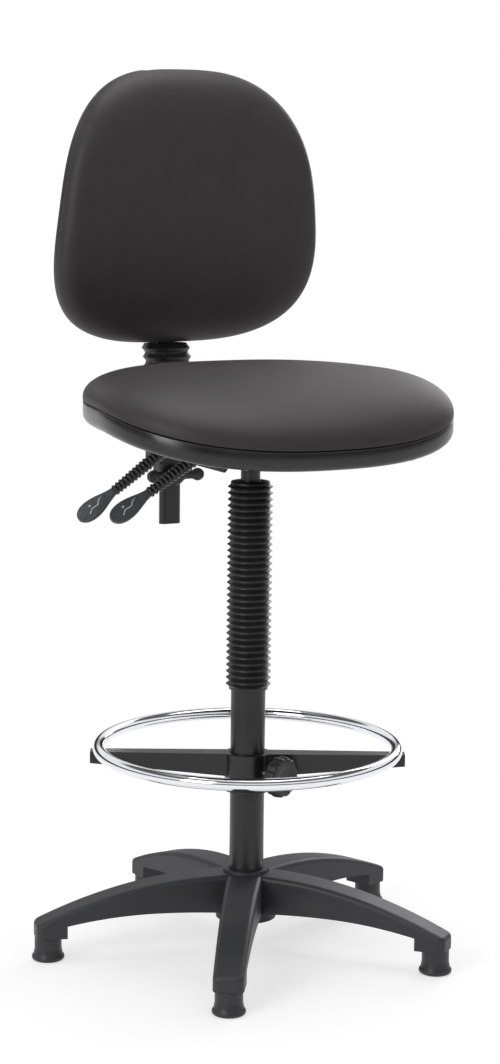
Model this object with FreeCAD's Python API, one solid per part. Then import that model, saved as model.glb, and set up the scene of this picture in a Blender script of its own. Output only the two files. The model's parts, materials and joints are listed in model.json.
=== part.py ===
"""Drafting chair: a tall five-star chair with a foot ring, a gas lift and a raked, height-set back.

All sizes are in millimetres. The origin is where the column's axis meets the floor.
+Z is up, the sitter faces -Y, and the sitter's left hand is on the +X side.
"""
import FreeCAD, Part
import math
import os

# ---------------------------------------------------------------- clearances
RUN_GAP = 0.05          # radial gap of a shaft that turns or slides in its bore
FACE_GAP = 0.1          # gap between flat faces that turn or slide past each other
SOFT_GAP = 0.3          # gap round foam, rubber covers and moulded shells

# ---------------------------------------------------------------- star base and glides
ARM_COUNT = 5
BASE_TURN = 3.8         # degrees from the rear arm lying on +Y
FOOT_CIRCLE_R = 293.0
ARM_END_OVERHANG = 19.0     # arm end beyond the glide's centre
ARM_ROOT_HALF = 26.5
ARM_TIP_HALF = 21.5
ARM_TOP_Z = 115.5
ARM_FALL = 60.0         # how far the arm's top falls from root to tip
ARM_LEVEL_R = 40.0      # the top starts to fall at this radius
ARM_ARCH_Z = 65.0       # highest point of the arm's underside
ARM_ARCH_R = 142.0
ARM_ARCH_ROOT_DROP = 9.0
ARM_ARCH_TIP_DROP = 17.0
ARM_EDGE_R = 7.0
ARM_END_CORNER_R = 11.0
ARM_WALL = 4.0
ARM_RIB_COUNT = 3
FOOT_BOSS_Z = 35.0
FOOT_BOSS_LENGTH = 44.0
HUB_TOP_Z = 120.0
HUB_BOTTOM_Z = 47.0
HUB_TOP_R = 33.0
HUB_BOTTOM_R = 44.0
HUB_FACE_R = 46.0           # flat face where each arm meets the hub

GLIDE_R = 23.5
GLIDE_SOLE_R = 21.0
GLIDE_RIM_H = 9.0
GLIDE_STEM_R = 19.5
PIN_R = 5.5
PIN_IN_GLIDE = 16.0
PIN_IN_ARM = 15.0

# ---------------------------------------------------------------- column and gas lift
TUBE_R = 25.0
TUBE_WALL = 1.5
TUBE_BOTTOM_Z = 43.0
TUBE_TOP_Z = 396.0
TUBE_FLOOR = 4.0
BUSH_LENGTH = 96.0
BEARING_R = 18.0
BEARING_H = 6.0
ROD_R = 5.0
ROD_SPIGOT_R = 4.0
ROD_TIP_BELOW_TUBE = 9.5
CLIP_R = 18.0
CLIP_H = 5.0
CLIP_HUB_R = 11.0
CLIP_HUB_H = 3.0

CYLINDER_R = 14.0
CYLINDER_WALL = 1.5
CYLINDER_BOTTOM_Z = 312.0
CYLINDER_TOP_Z = 751.0
GLAND_H = 15.0
CHAMBER_TOP_Z = 690.0
TAPER_LENGTH = 42.0
TAPER_TIP_R = 13.1
PISTON_H = 12.0
PISTON_ABOVE_GLAND = 8.0
ROD_ABOVE_PISTON = 4.0
BUTTON_R = 4.0
BUTTON_DEPTH = 11.0
BUTTON_PROUD = 11.0
BUTTON_TRAVEL = 5.2

BELLOWS_FIN_R = 32.5
BELLOWS_VALLEY_R = 28.6
BELLOWS_WALL = 1.6
BELLOWS_FINS = 32
BELLOWS_BOTTOM_Z = 387.0
BELLOWS_COLLAR_H = 4.0
BELLOWS_TOP_Z = 690.0

# ---------------------------------------------------------------- foot ring
RING_R = 216.0
RING_TUBE_R = 9.0
RING_TUBE_WALL = 1.5
RING_Z = 300.0
RING_ARM_ANGLE = -28.0
RING_ARM_HALF_ROOT = 15.0
RING_ARM_HALF_TIP = 11.0
RING_ARM_DEPTH_ROOT = 33.0
RING_ARM_DEPTH_TIP = 17.0
RING_ARM_END_OVERHANG = 12.5
RING_SEAT_DEPTH = 2.0       # how deep the tube lies in the arm's groove
RING_HUB_R = 33.0
RING_HUB_H = 52.0
LINER_WALL = 2.2
LINER_FLANGE_R = 35.0
LINER_FLANGE_H = 3.0
LINER_TONGUE_WIDTH = 19.0
LINER_TONGUE_LENGTH = 14.0
RING_SCREW_R = 2.5
RING_SCREW_HEAD_R = 5.0
RING_SCREW_HEAD_H = 3.0
RING_KNOB_ANGLE = -70.0
RING_KNOB_R = 30.0
RING_KNOB_H = 20.0
RING_KNOB_LOBES = 12
RING_KNOB_LOBE_R = 3.0
RING_KNOB_GAP = 22.0        # from the hub's wall to the knob
RING_STUD_R = 4.0

# ---------------------------------------------------------------- seat
SEAT_WIDTH = 510.0
SEAT_LENGTH = 443.0
SEAT_FORWARD = 26.9         # the outline's centre, ahead of the column
SEAT_SEAM_Z = 806.5
SEAT_TAPER = 0.15           # the front is this much wider than the middle
SEAT_ROUND_FRONT = 2.35
SEAT_ROUND_REAR = 2.93
SEAT_DROP = 44.8            # the front edge's waterfall
SEAT_DROP_POWER = 1.81
PAN_DEPTH = 31.5
PAN_WALL = 3.0
PAN_CORNER_R = 15.0
SEAT_BOARD_T = 11.0
SEAT_BOARD_INSET = 13.0
CUSHION_RIM = 20.0
CUSHION_CROWN = 45.0

# ---------------------------------------------------------------- mechanism
MECH_HALF = 56.0
MECH_WALL = 3.0
MECH_FRONT_Y = -62.0
MECH_REAR_Y = 168.0
MECH_BOTTOM_Z = 708.0
MECH_NOSE_Z = 738.0         # the walls rise to this at the front end
MECH_FLANGE = 16.0
SOCKET_WALL = 5.0
SOCKET_H = 40.0
PIVOT_Y = 115.0
PIVOT_Z = 744.0
PIVOT_R = 6.0
CARRIER_HALF = 30.0
CARRIER_WALL = 4.0
CARRIER_BARREL_R = 16.0
CARRIER_TOP_Z = 759.5
CARRIER_BOTTOM_Z = 726.0
LOCK_PLATE_T = 3.0
LOCK_PLATE_LENGTH = 46.0
LOCK_PLATE_H = 24.0
SEAT_BOLT_R = 4.0
SEAT_BOLT_HEAD_R = 6.5
SEAT_BOLT_HEAD_H = 5.0
SEAT_BOLT_DEPTH = 9.0
SEAT_BOLT_YS = (-35.0, 145.0)

HEIGHT_LEVER_Y = 34.0
HEIGHT_LEVER_Z = 733.0
HEIGHT_LEVER_SLOPE = 32.0
TILT_LEVER_Y = 157.0
TILT_LEVER_Z = 724.0
TILT_LEVER_SLOPE = 35.0
LEVER_BALL_R = 7.4
LEVER_ROD_R = 4.0
LEVER_SPIGOT_R = 2.5
LEVER_SPIGOT_LENGTH = 22.0
LEVER_INNER = 10.0
SLEEVE_START = 11.0
SLEEVE_END = 107.0
SLEEVE_ROOT_R = 10.8
SLEEVE_TIP_R = 8.0
SLEEVE_RIBS = 14
SLEEVE_RIB_DEPTH = 1.8
PADDLE_END = 175.0
PADDLE_HALF_ROOT = 6.5
PADDLE_HALF = 15.0
PADDLE_T = 8.0
PADDLE_EDGE_R = 2.5
PADDLE_TWIST = 45.0         # the leaf's face turns this far towards the front
ROCKER_R = 3.0
ROCKER_KNEE_X = -32.0
ROCKER_KNEE_Y = 24.0

# ---------------------------------------------------------------- back support
STEM_HALF_W = 17.0
STEM_HALF_T = 7.5
STEM_Y = 262.0
STEM_BOTTOM_Z = 596.0
STEM_KINK_Z = 806.0
STEM_KINK_OUT = 24.5
STEM_SHOULDER_Z = 866.0
STEM_TOP_Z = 1040.0
STEM_LEAN = 13.4            # degrees that the top run leans forward
STEM_BEND_R = 75.0
CAP_H = 4.0
CLAMP_HALF_W = 35.0
CLAMP_FRONT_Y = 249.5
CLAMP_REAR_Y = 284.0
CLAMP_BOTTOM_Z = 686.0
CLAMP_TOP_Z = 760.0
CLAMP_CORNER_R = 12.0
CLAMP_NECK_HALF_W = 21.0
CLAMP_NECK_DROP = 25.0
CLAMP_NECK_INSET = 3.0
KNOB_Z = 668.0
KNOB_SPAN = 94.0
KNOB_END_R = 10.0
KNOB_HUB_R = 15.0
KNOB_T = 13.0
STUD_R = 4.0
STUD_IN_KNOB = 9.0
COVER_HALF_W = 38.0
COVER_HALF_T = 23.0
COVER_FIN_DEPTH = 4.0
COVER_WALL = 2.2
COVER_FINS = 8
COVER_TOP_Z = 865.5
COVER_SHIFT = 18.0

# ---------------------------------------------------------------- back pad
BACK_WIDTH = 414.3
BACK_HEIGHT = 406.8
BACK_Z = 1068.0
BACK_Y = 231.5
BACK_RAKE = 6.13            # degrees that the pad's plane leans, its foot to the rear
BACK_TAPER = -0.109         # the top is narrower
BACK_ROUND_TOP = 2.91
BACK_ROUND_BOTTOM = 2.84
BACK_WRAP = 32.3            # the sides come forward by this much
BACK_BOW = 23.4             # top and bottom fall back by this much
BACK_RIM = 18.0
BACK_CROWN = 40.0
BACK_BOARD_T = 11.0
BACK_BOARD_INSET = 12.0
SHELL_RIM = 8.0
SHELL_DEPTH = 34.0
SHELL_WALL = 3.0
BRACKET_HALF_W = 40.0
BRACKET_T = 3.0
BRACKET_HEIGHT = 96.0
BRACKET_Z = 985.0
BACK_SCREW_R = 3.0
BACK_SCREW_HEAD_R = 6.0
BACK_SCREW_HEAD_H = 3.0
BACK_SCREW_DEPTH = 8.0
BACK_SCREW_HALF_X = 29.0
BACK_SCREW_HALF_Z = 31.0

# ---------------------------------------------------------------- places that several pieces share
X_AXIS = FreeCAD.Vector(1, 0, 0)
Y_AXIS = FreeCAD.Vector(0, 1, 0)
Z_AXIS = FreeCAD.Vector(0, 0, 1)
ORIGIN = FreeCAD.Vector(0, 0, 0)
BORE_R = TUBE_R - TUBE_WALL
ARM_END_R = FOOT_CIRCLE_R + ARM_END_OVERHANG
BEARING_Z = TUBE_BOTTOM_Z + TUBE_FLOOR
ROD_SHOULDER_Z = BEARING_Z + BEARING_H + FACE_GAP
PISTON_Z = CYLINDER_BOTTOM_Z + GLAND_H + PISTON_ABOVE_GLAND
TAPER_Z = CYLINDER_TOP_Z - TAPER_LENGTH
BUTTON_TOP_Z = CYLINDER_TOP_Z + BUTTON_PROUD
RING_ARM_TOP_Z = RING_Z - RING_TUBE_R + RING_SEAT_DEPTH
RING_HUB_BOTTOM_Z = RING_ARM_TOP_Z - RING_HUB_H
RING_KNOB_Z = RING_ARM_TOP_Z - RING_HUB_H / 2
PAN_UNDER_Z = SEAT_SEAM_Z - PAN_DEPTH
MECH_NOSE_SHARE = (-MECH_FRONT_Y - SEAT_FORWARD) / (SEAT_LENGTH / 2)
MECH_TOP_Z = PAN_UNDER_Z - SOFT_GAP - SEAT_DROP * max(MECH_NOSE_SHARE, 0.0) ** SEAT_DROP_POWER
LEVER_X = -(MECH_HALF - MECH_WALL / 2)
PAD_STEPS = 13
PAD_END = math.radians(80)


def vec(x, y, z):
    return FreeCAD.Vector(x, y, z)


def cylinder(radius, height, base, axis=Z_AXIS):
    return Part.makeCylinder(radius, height, base, axis)


def tube(outer_r, inner_r, height, base, axis=Z_AXIS):
    return cylinder(outer_r, height, base, axis).cut(cylinder(inner_r, height, base, axis))


def box(x0, x1, y0, y1, z0, z1):
    return Part.makeBox(x1 - x0, y1 - y0, z1 - z0, vec(x0, y0, z0))


def turned(points):
    """Solid made by turning a closed outline of (radius, height) points round the Z axis."""
    wire = Part.makePolygon([vec(r, 0, z) for r, z in points + points[:1]])
    return Part.Face(wire).revolve(ORIGIN, Z_AXIS, 360)


def placed(shape, degrees, move=ORIGIN, axis=Z_AXIS):
    """Copy of the shape turned about an axis through the origin and then moved."""
    copy = shape.copy()
    copy.rotate(ORIGIN, axis, degrees)
    copy.translate(move)
    return copy


def polar(radius, degrees, z=0.0):
    angle = math.radians(degrees)
    return vec(radius * math.cos(angle), radius * math.sin(angle), z)


def spline(points):
    curve = Part.BSplineCurve()
    curve.interpolate(points)
    return curve.toShape()


def flat_oval(half_w, half_t, centre):
    """Face lying level at the centre: two straight sides joined by half circles, long along X."""
    reach = half_w - half_t
    right = centre + vec(reach, 0, 0)
    left = centre - vec(reach, 0, 0)
    out = vec(half_t, 0, 0)
    side = vec(0, half_t, 0)
    edges = [
        Part.makeLine(left - side, right - side),
        Part.Arc(right - side, right + out, right + side).toShape(),
        Part.makeLine(right + side, left + side),
        Part.Arc(left + side, left - out, left - side).toShape(),
    ]
    return Part.Face(Part.Wire(edges))


def save(shape, name):
    """Write one sub-part. A group of loose solids stays one file."""
    if not shape.isValid():
        raise ValueError(name + " is not a valid shape")
    if not shape.Solids:
        raise ValueError(name + " has no solid")
    shape.exportStep("parts/" + name + ".step")


# ---------------------------------------------------------------- star base
def arm_top(radius):
    fall = max(0.0, radius - ARM_LEVEL_R) / (ARM_END_R - ARM_LEVEL_R)
    return ARM_TOP_Z - ARM_FALL * fall ** 2


def arm_underside(radius):
    if radius < ARM_ARCH_R:
        return ARM_ARCH_Z - ARM_ARCH_ROOT_DROP * ((ARM_ARCH_R - radius) / ARM_ARCH_R) ** 2
    return ARM_ARCH_Z - ARM_ARCH_TIP_DROP * ((radius - ARM_ARCH_R) / (FOOT_CIRCLE_R - ARM_ARCH_R)) ** 2


def arm_side(start, end, top_inset, lower, half):
    """Arm's side outline between two radii, given thickness on both sides of the XZ plane."""
    radii = [start + (end - start) * i / 6 for i in range(7)]
    top = [vec(r, -half, arm_top(r) - top_inset) for r in radii]
    under = [vec(r, -half, lower(r)) for r in reversed(radii)]
    edges = [
        spline(top),
        Part.makeLine(top[-1], under[0]),
        spline(under),
        Part.makeLine(under[-1], top[0]),
    ]
    return Part.Face(Part.Wire(edges)).extrude(vec(0, 2 * half, 0))


def arm_plan(start, end, inset, corner):
    """Upright prism of the arm's plan: straight tapering sides and a square end with round corners."""
    def half_at(radius):
        share = radius / ARM_END_R
        return ARM_ROOT_HALF + (ARM_TIP_HALF - ARM_ROOT_HALF) * share - inset

    corners = [
        vec(start, -half_at(start), 0),
        vec(end, -half_at(end), 0),
        vec(end, half_at(end), 0),
        vec(start, half_at(start), 0),
    ]
    prism = Part.Face(Part.makePolygon(corners + corners[:1])).extrude(vec(0, 0, 2 * HUB_TOP_Z))
    if corner:
        prism = prism.makeFillet(corner, edges_at(prism, end))
    return prism


def edges_at(prism, x):
    """Upright edges of a prism that stand at this X."""
    found = []
    for edge in prism.Edges:
        first, last = edge.Vertexes[0].Point, edge.Vertexes[-1].Point
        if abs(first.x - x) < 0.01 and abs(last.x - x) < 0.01 and abs(first.y - last.y) < 0.01:
            found.append(edge)
    return found


def arm_shape():
    boss_start = ARM_END_R - FOOT_BOSS_LENGTH
    wide = 2 * ARM_ROOT_HALF
    profile = arm_side(0.0, ARM_END_R, 0.0, arm_underside, wide)
    boss = arm_side(boss_start, ARM_END_R, 0.0, lambda r: FOOT_BOSS_Z, wide)
    arm = profile.fuse(boss).removeSplitter()
    arm = arm.common(arm_plan(0.0, ARM_END_R, 0.0, ARM_END_CORNER_R))
    return arm.makeFillet(ARM_EDGE_R, top_edges(arm))


def top_edges(arm):
    """Edges of the arm's upper face, except the one inside the hub."""
    found = []
    for edge in arm.Edges:
        centre = edge.CenterOfMass
        ends = [vertex.Point for vertex in edge.Vertexes]
        on_top = all(abs(p.z - arm_top(p.x)) < 0.3 for p in ends)
        if on_top and centre.x > 1.0 and abs(centre.z - arm_top(centre.x)) < 8.0:
            found.append(edge)
    return found


def arm_hollow():
    """Space under the arm's skin, split into bays by cross ribs."""
    start = HUB_BOTTOM_R + ARM_WALL
    end = ARM_END_R - FOOT_BOSS_LENGTH
    space = arm_side(start, end, 2 * ARM_WALL, lambda r: 0.0, ARM_ROOT_HALF)
    space = space.common(arm_plan(start, end, ARM_WALL, 0.0))
    for i in range(1, ARM_RIB_COUNT + 1):
        middle = start + (end - start) * i / (ARM_RIB_COUNT + 1)
        half = ARM_WALL / 2
        space = space.cut(box(middle - half, middle + half, -50, 50, 0, HUB_TOP_Z))
    return space


def arm_angles():
    return [90 + BASE_TURN + 360 / ARM_COUNT * i for i in range(ARM_COUNT)]


def whole_base():
    hub = Part.makeCone(HUB_BOTTOM_R, HUB_TOP_R, HUB_TOP_Z - HUB_BOTTOM_Z, vec(0, 0, HUB_BOTTOM_Z))
    arm = arm_shape()
    pin_hole = cylinder(PIN_R, PIN_IN_ARM, vec(FOOT_CIRCLE_R, 0, FOOT_BOSS_Z))
    hollow = arm_hollow()
    base = hub.fuse([placed(arm, angle) for angle in arm_angles()])
    base = base.cut([placed(hollow, angle) for angle in arm_angles()])
    base = base.cut([placed(pin_hole, angle) for angle in arm_angles()])
    return base.cut(cylinder(TUBE_R, HUB_TOP_Z, ORIGIN))


def base_pieces():
    """The moulding as a hub and its arms, which meet on flat faces."""
    base = whole_base()
    pieces = {}
    regions = []
    for number, angle in enumerate(arm_angles(), 1):
        region = box(HUB_FACE_R, ARM_END_R + 1, -2 * ARM_ROOT_HALF, 2 * ARM_ROOT_HALF, 0, HUB_TOP_Z)
        region = placed(region, angle)
        pieces["base_arm_%d" % number] = base.common(region)
        regions.append(region)
    pieces["base_hub"] = base.cut(regions)
    return pieces


def floor_glide():
    """Foot that stands on the floor: a round sole, a waisted rim and a straight stem."""
    top = FOOT_BOSS_Z
    waist = GLIDE_RIM_H + 5.0
    outline = [
        (0, 0), (GLIDE_SOLE_R, 0), (GLIDE_R - 0.7, 1.2), (GLIDE_R, 3.0),
        (GLIDE_R, GLIDE_RIM_H - 2.5), (GLIDE_R - 1.0, GLIDE_RIM_H - 0.6),
        (GLIDE_STEM_R + 1.6, waist - 2.2), (GLIDE_STEM_R + 0.4, waist), (GLIDE_STEM_R, waist + 2.5),
        (GLIDE_STEM_R, top), (0, top),
    ]
    glide = turned(outline)
    return glide.cut(cylinder(PIN_R, PIN_IN_GLIDE, vec(0, 0, top - PIN_IN_GLIDE)))


def glide_pins():
    length = PIN_IN_GLIDE + PIN_IN_ARM
    pin = cylinder(PIN_R, length, vec(FOOT_CIRCLE_R, 0, FOOT_BOSS_Z - PIN_IN_GLIDE))
    return Part.makeCompound([placed(pin, angle) for angle in arm_angles()])


# ---------------------------------------------------------------- column and gas lift
def column_tube():
    height = TUBE_TOP_Z - TUBE_BOTTOM_Z
    shell = cylinder(TUBE_R, height, vec(0, 0, TUBE_BOTTOM_Z))
    shell = shell.cut(cylinder(BORE_R, height, vec(0, 0, BEARING_Z)))
    return shell.cut(cylinder(ROD_SPIGOT_R + FACE_GAP, TUBE_FLOOR, vec(0, 0, TUBE_BOTTOM_Z)))


def column_bush():
    base = vec(0, 0, TUBE_TOP_Z - BUSH_LENGTH)
    return tube(BORE_R, CYLINDER_R + RUN_GAP, BUSH_LENGTH, base)


def thrust_bearing():
    return tube(BEARING_R, ROD_SPIGOT_R + FACE_GAP, BEARING_H, vec(0, 0, BEARING_Z))


def piston_rod():
    tip_z = TUBE_BOTTOM_Z - ROD_TIP_BELOW_TUBE
    top_z = PISTON_Z + PISTON_H + ROD_ABOVE_PISTON
    spigot = cylinder(ROD_SPIGOT_R, ROD_SHOULDER_Z - tip_z, vec(0, 0, tip_z))
    return spigot.fuse(cylinder(ROD_R, top_z - ROD_SHOULDER_Z, vec(0, 0, ROD_SHOULDER_Z)))


def piston():
    return tube(CYLINDER_R - CYLINDER_WALL - RUN_GAP, ROD_R, PISTON_H, vec(0, 0, PISTON_Z))


def column_clip():
    top = TUBE_BOTTOM_Z - FACE_GAP
    washer = cylinder(CLIP_R, CLIP_H, vec(0, 0, top - CLIP_H))
    hub = cylinder(CLIP_HUB_R, CLIP_HUB_H, vec(0, 0, top - CLIP_H - CLIP_HUB_H))
    return washer.fuse(hub).cut(cylinder(ROD_SPIGOT_R, top, ORIGIN))


def lift_cylinder():
    straight = cylinder(CYLINDER_R, TAPER_Z - CYLINDER_BOTTOM_Z, vec(0, 0, CYLINDER_BOTTOM_Z))
    taper = Part.makeCone(CYLINDER_R, TAPER_TIP_R, TAPER_LENGTH, vec(0, 0, TAPER_Z))
    chamber_z = CYLINDER_BOTTOM_Z + GLAND_H
    chamber = cylinder(CYLINDER_R - CYLINDER_WALL, CHAMBER_TOP_Z - chamber_z, vec(0, 0, chamber_z))
    gland = cylinder(ROD_R + RUN_GAP, GLAND_H, vec(0, 0, CYLINDER_BOTTOM_Z))
    depth = BUTTON_DEPTH + BUTTON_TRAVEL + 1.0
    button_bore = cylinder(BUTTON_R + RUN_GAP, depth, vec(0, 0, CYLINDER_TOP_Z - depth))
    return straight.fuse(taper).cut([chamber, gland, button_bore]).removeSplitter()


def release_button():
    return cylinder(BUTTON_R, BUTTON_DEPTH + BUTTON_PROUD, vec(0, 0, CYLINDER_TOP_Z - BUTTON_DEPTH))


def column_bellows():
    """Rubber sleeve folded into thin fins; its foot grips the tube and its top rides on the cylinder."""
    pitch = (BELLOWS_TOP_Z - BELLOWS_BOTTOM_Z - 2 * BELLOWS_COLLAR_H) / BELLOWS_FINS
    first = BELLOWS_BOTTOM_Z + BELLOWS_COLLAR_H
    last = BELLOWS_TOP_Z - BELLOWS_COLLAR_H
    outer = [(BELLOWS_VALLEY_R, BELLOWS_BOTTOM_Z), (BELLOWS_VALLEY_R, first)]
    inner = []
    for i in range(BELLOWS_FINS):
        z = first + i * pitch
        outer += [(BELLOWS_FIN_R, z + 0.5 * pitch), (BELLOWS_VALLEY_R, z + pitch)]
        inner += [(BELLOWS_FIN_R - BELLOWS_WALL, z + 0.5 * pitch),
                  (BELLOWS_VALLEY_R - BELLOWS_WALL, z + pitch)]
    outer += [(BELLOWS_VALLEY_R, BELLOWS_TOP_Z)]
    top_bore = CYLINDER_R + SOFT_GAP
    back_down = [(top_bore, BELLOWS_TOP_Z), (top_bore, last)]
    foot_z = TUBE_TOP_Z + SOFT_GAP
    above_foot = [point for point in inner if foot_z < point[1] < last]
    foot = [(BELLOWS_VALLEY_R - BELLOWS_WALL, foot_z), (TUBE_R, foot_z), (TUBE_R, BELLOWS_BOTTOM_Z)]
    neck = [(BELLOWS_VALLEY_R - BELLOWS_WALL, last)]
    return turned(outer + back_down + neck + above_foot[::-1] + foot)


# ---------------------------------------------------------------- foot ring
def ring_torus(tube_r):
    return Part.makeTorus(RING_R, tube_r, vec(0, 0, RING_Z))


def foot_ring_tube():
    return ring_torus(RING_TUBE_R).cut(ring_torus(RING_TUBE_R - RING_TUBE_WALL))


def ring_arm():
    """One of the two arms, along +X: deep at the hub, shallow under the ring."""
    end = RING_R + RING_ARM_END_OVERHANG
    profile = [
        vec(0, 0, RING_ARM_TOP_Z), vec(end, 0, RING_ARM_TOP_Z),
        vec(end, 0, RING_ARM_TOP_Z - RING_ARM_DEPTH_TIP),
        vec(RING_HUB_R, 0, RING_ARM_TOP_Z - RING_ARM_DEPTH_ROOT),
        vec(0, 0, RING_ARM_TOP_Z - RING_ARM_DEPTH_ROOT),
    ]
    side = Part.Face(Part.makePolygon(profile + profile[:1])).extrude(vec(0, 4 * RING_ARM_HALF_ROOT, 0))
    side.translate(vec(0, -2 * RING_ARM_HALF_ROOT, 0))
    plan = [
        vec(0, -RING_ARM_HALF_ROOT, 0), vec(end, -RING_ARM_HALF_TIP, 0),
        vec(end, RING_ARM_HALF_TIP, 0), vec(0, RING_ARM_HALF_ROOT, 0),
    ]
    prism = Part.Face(Part.makePolygon(plan + plan[:1])).extrude(vec(0, 0, RING_Z + RING_TUBE_R))
    return side.common(prism)


def ring_angles():
    return [RING_ARM_ANGLE, RING_ARM_ANGLE + 180]


def foot_ring_hub():
    hub = cylinder(RING_HUB_R, RING_HUB_H, vec(0, 0, RING_HUB_BOTTOM_Z))
    arms = [placed(ring_arm(), angle) for angle in ring_angles()]
    body = hub.fuse(arms).removeSplitter()
    body = body.cut(cylinder(TUBE_R + RUN_GAP + LINER_WALL, RING_Z, ORIGIN))
    body = body.cut(ring_torus(RING_TUBE_R))
    stud_hole = cylinder(RING_STUD_R + RUN_GAP, 2 * RING_HUB_R, vec(0, 0, RING_KNOB_Z),
                         polar(1, RING_KNOB_ANGLE))
    body = body.cut(stud_hole)
    return body.cut([placed(ring_screw(), angle) for angle in ring_angles()])


def foot_ring_liner():
    """Nylon sleeve between hub and column, with a flange below and two grip tongues."""
    inner = TUBE_R + RUN_GAP
    outer = inner + LINER_WALL
    sleeve = tube(outer, inner, RING_HUB_H, vec(0, 0, RING_HUB_BOTTOM_Z))
    flange_z = RING_HUB_BOTTOM_Z - LINER_FLANGE_H
    flange = tube(LINER_FLANGE_R, inner, LINER_FLANGE_H, vec(0, 0, flange_z))
    ring = tube(outer, inner, LINER_TONGUE_LENGTH, vec(0, 0, flange_z - LINER_TONGUE_LENGTH))
    half = LINER_TONGUE_WIDTH / 2
    strip = box(-2 * TUBE_R, 2 * TUBE_R, -half, half, 0, RING_Z)
    tongues = ring.common(placed(strip, RING_ARM_ANGLE - 90))
    return sleeve.fuse([flange, tongues]).removeSplitter()


def ring_screw():
    """Screw up through an arm into the ring's tube, along +X at the ring's radius."""
    slope = (RING_ARM_DEPTH_ROOT - RING_ARM_DEPTH_TIP) / (RING_R + RING_ARM_END_OVERHANG - RING_HUB_R)
    under = RING_ARM_TOP_Z - RING_ARM_DEPTH_TIP - slope * RING_ARM_END_OVERHANG
    sunk = under + RING_SCREW_HEAD_H
    head = cylinder(RING_SCREW_HEAD_R, RING_SCREW_HEAD_H, vec(RING_R, 0, under))
    shank = cylinder(RING_SCREW_R, RING_Z - RING_TUBE_R - sunk, vec(RING_R, 0, sunk))
    return head.fuse(shank)


def ring_screws():
    return Part.makeCompound([placed(ring_screw(), angle) for angle in ring_angles()])


def ring_knob():
    """Scalloped hand knob, its face turned away from the column."""
    start = RING_HUB_R + RING_KNOB_GAP
    knob = cylinder(RING_KNOB_R, RING_KNOB_H, vec(start, 0, 0), X_AXIS)
    knob = knob.makeFillet(3.0, [edge for edge in knob.Edges if edge.Curve.TypeId == "Part::GeomCircle"])
    neck = cylinder(RING_KNOB_R / 3, 7.0, vec(start - 6.0, 0, 0), X_AXIS)
    knob = knob.fuse(neck)
    for i in range(RING_KNOB_LOBES):
        angle = math.radians(360 / RING_KNOB_LOBES * i)
        reach = RING_KNOB_R + RING_KNOB_LOBE_R / 3
        place = vec(start - 1, reach * math.cos(angle), reach * math.sin(angle))
        knob = knob.cut(cylinder(RING_KNOB_LOBE_R, RING_KNOB_H + 2, place, X_AXIS))
    knob = knob.cut(cylinder(RING_STUD_R, start + RING_KNOB_H / 2, ORIGIN, X_AXIS))
    return placed(knob, RING_KNOB_ANGLE, vec(0, 0, RING_KNOB_Z))


def ring_knob_stud():
    start = TUBE_R + RUN_GAP + LINER_WALL + SOFT_GAP
    end = RING_HUB_R + RING_KNOB_GAP + RING_KNOB_H / 2
    stud = cylinder(RING_STUD_R, end - start, vec(start, 0, 0), X_AXIS)
    return placed(stud, RING_KNOB_ANGLE, vec(0, 0, RING_KNOB_Z))


# ---------------------------------------------------------------- pads: outlines shared by board, shell and foam
def egg_half_width(share, width, taper, power_high, power_low):
    """Half width of a rounded outline at a share of its half length, from -1 to 1."""
    power = power_high if share > 0 else power_low
    return width / 2 * (1 - abs(share) ** power) ** (1 / power) * (1 + taper * share)


def seat_half_width(share):
    return egg_half_width(share, SEAT_WIDTH, SEAT_TAPER, SEAT_ROUND_FRONT, SEAT_ROUND_REAR)


def seat_y(share):
    return -(SEAT_FORWARD + share * SEAT_LENGTH / 2)


def seat_seam(share):
    return SEAT_SEAM_Z - SEAT_DROP * max(share, 0.0) ** SEAT_DROP_POWER


def back_half_width(share):
    return egg_half_width(share, BACK_WIDTH, BACK_TAPER, BACK_ROUND_TOP, BACK_ROUND_BOTTOM)


def back_seam(share, x):
    """Depth of the back's seam behind the pad's plane, before the rake."""
    return BACK_BOW * share ** 2 - BACK_WRAP * (2 * x / BACK_WIDTH) ** 2


def pad_shares(inset_share):
    """Places along a pad from one rounded end to the other, closer together towards the ends."""
    angles = [PAD_END * (2 * i / (PAD_STEPS - 1) - 1) for i in range(PAD_STEPS)]
    return [math.sin(angle) * (1 - inset_share) for angle in angles]


def seat_layer(low, high, inset, corner=0.0):
    """Closed solid between two heights over the seam; low and high take (share, side share)."""
    wires = []
    for share in pad_shares(2 * inset / SEAT_LENGTH):
        half = seat_half_width(share) - inset
        y = seat_y(share)
        seam = seat_seam(share)
        wires.append(section([-half, half], lambda x, z: vec(x, y, z),
                             lambda x: seam + low(share, x / half),
                             lambda x: seam + high(share, x / half), corner))
    return Part.makeLoft(wires, True, False)


def back_layer(front, rear, inset, corner=0.0):
    """Closed solid between two depths about the seam; front and rear take (share, side share)."""
    wires = []
    for share in pad_shares(2 * inset / BACK_HEIGHT):
        half = back_half_width(share) - inset
        h = share * BACK_HEIGHT / 2
        wires.append(section([-half, half], lambda x, y: vec(x, y, h),
                             lambda x: back_seam(share, x) + rear(share, x / half),
                             lambda x: back_seam(share, x) + front(share, x / half), corner))
    solid = Part.makeLoft(wires, True, False)
    return placed(solid, BACK_RAKE, vec(0, BACK_Y, BACK_Z), X_AXIS)


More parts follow.
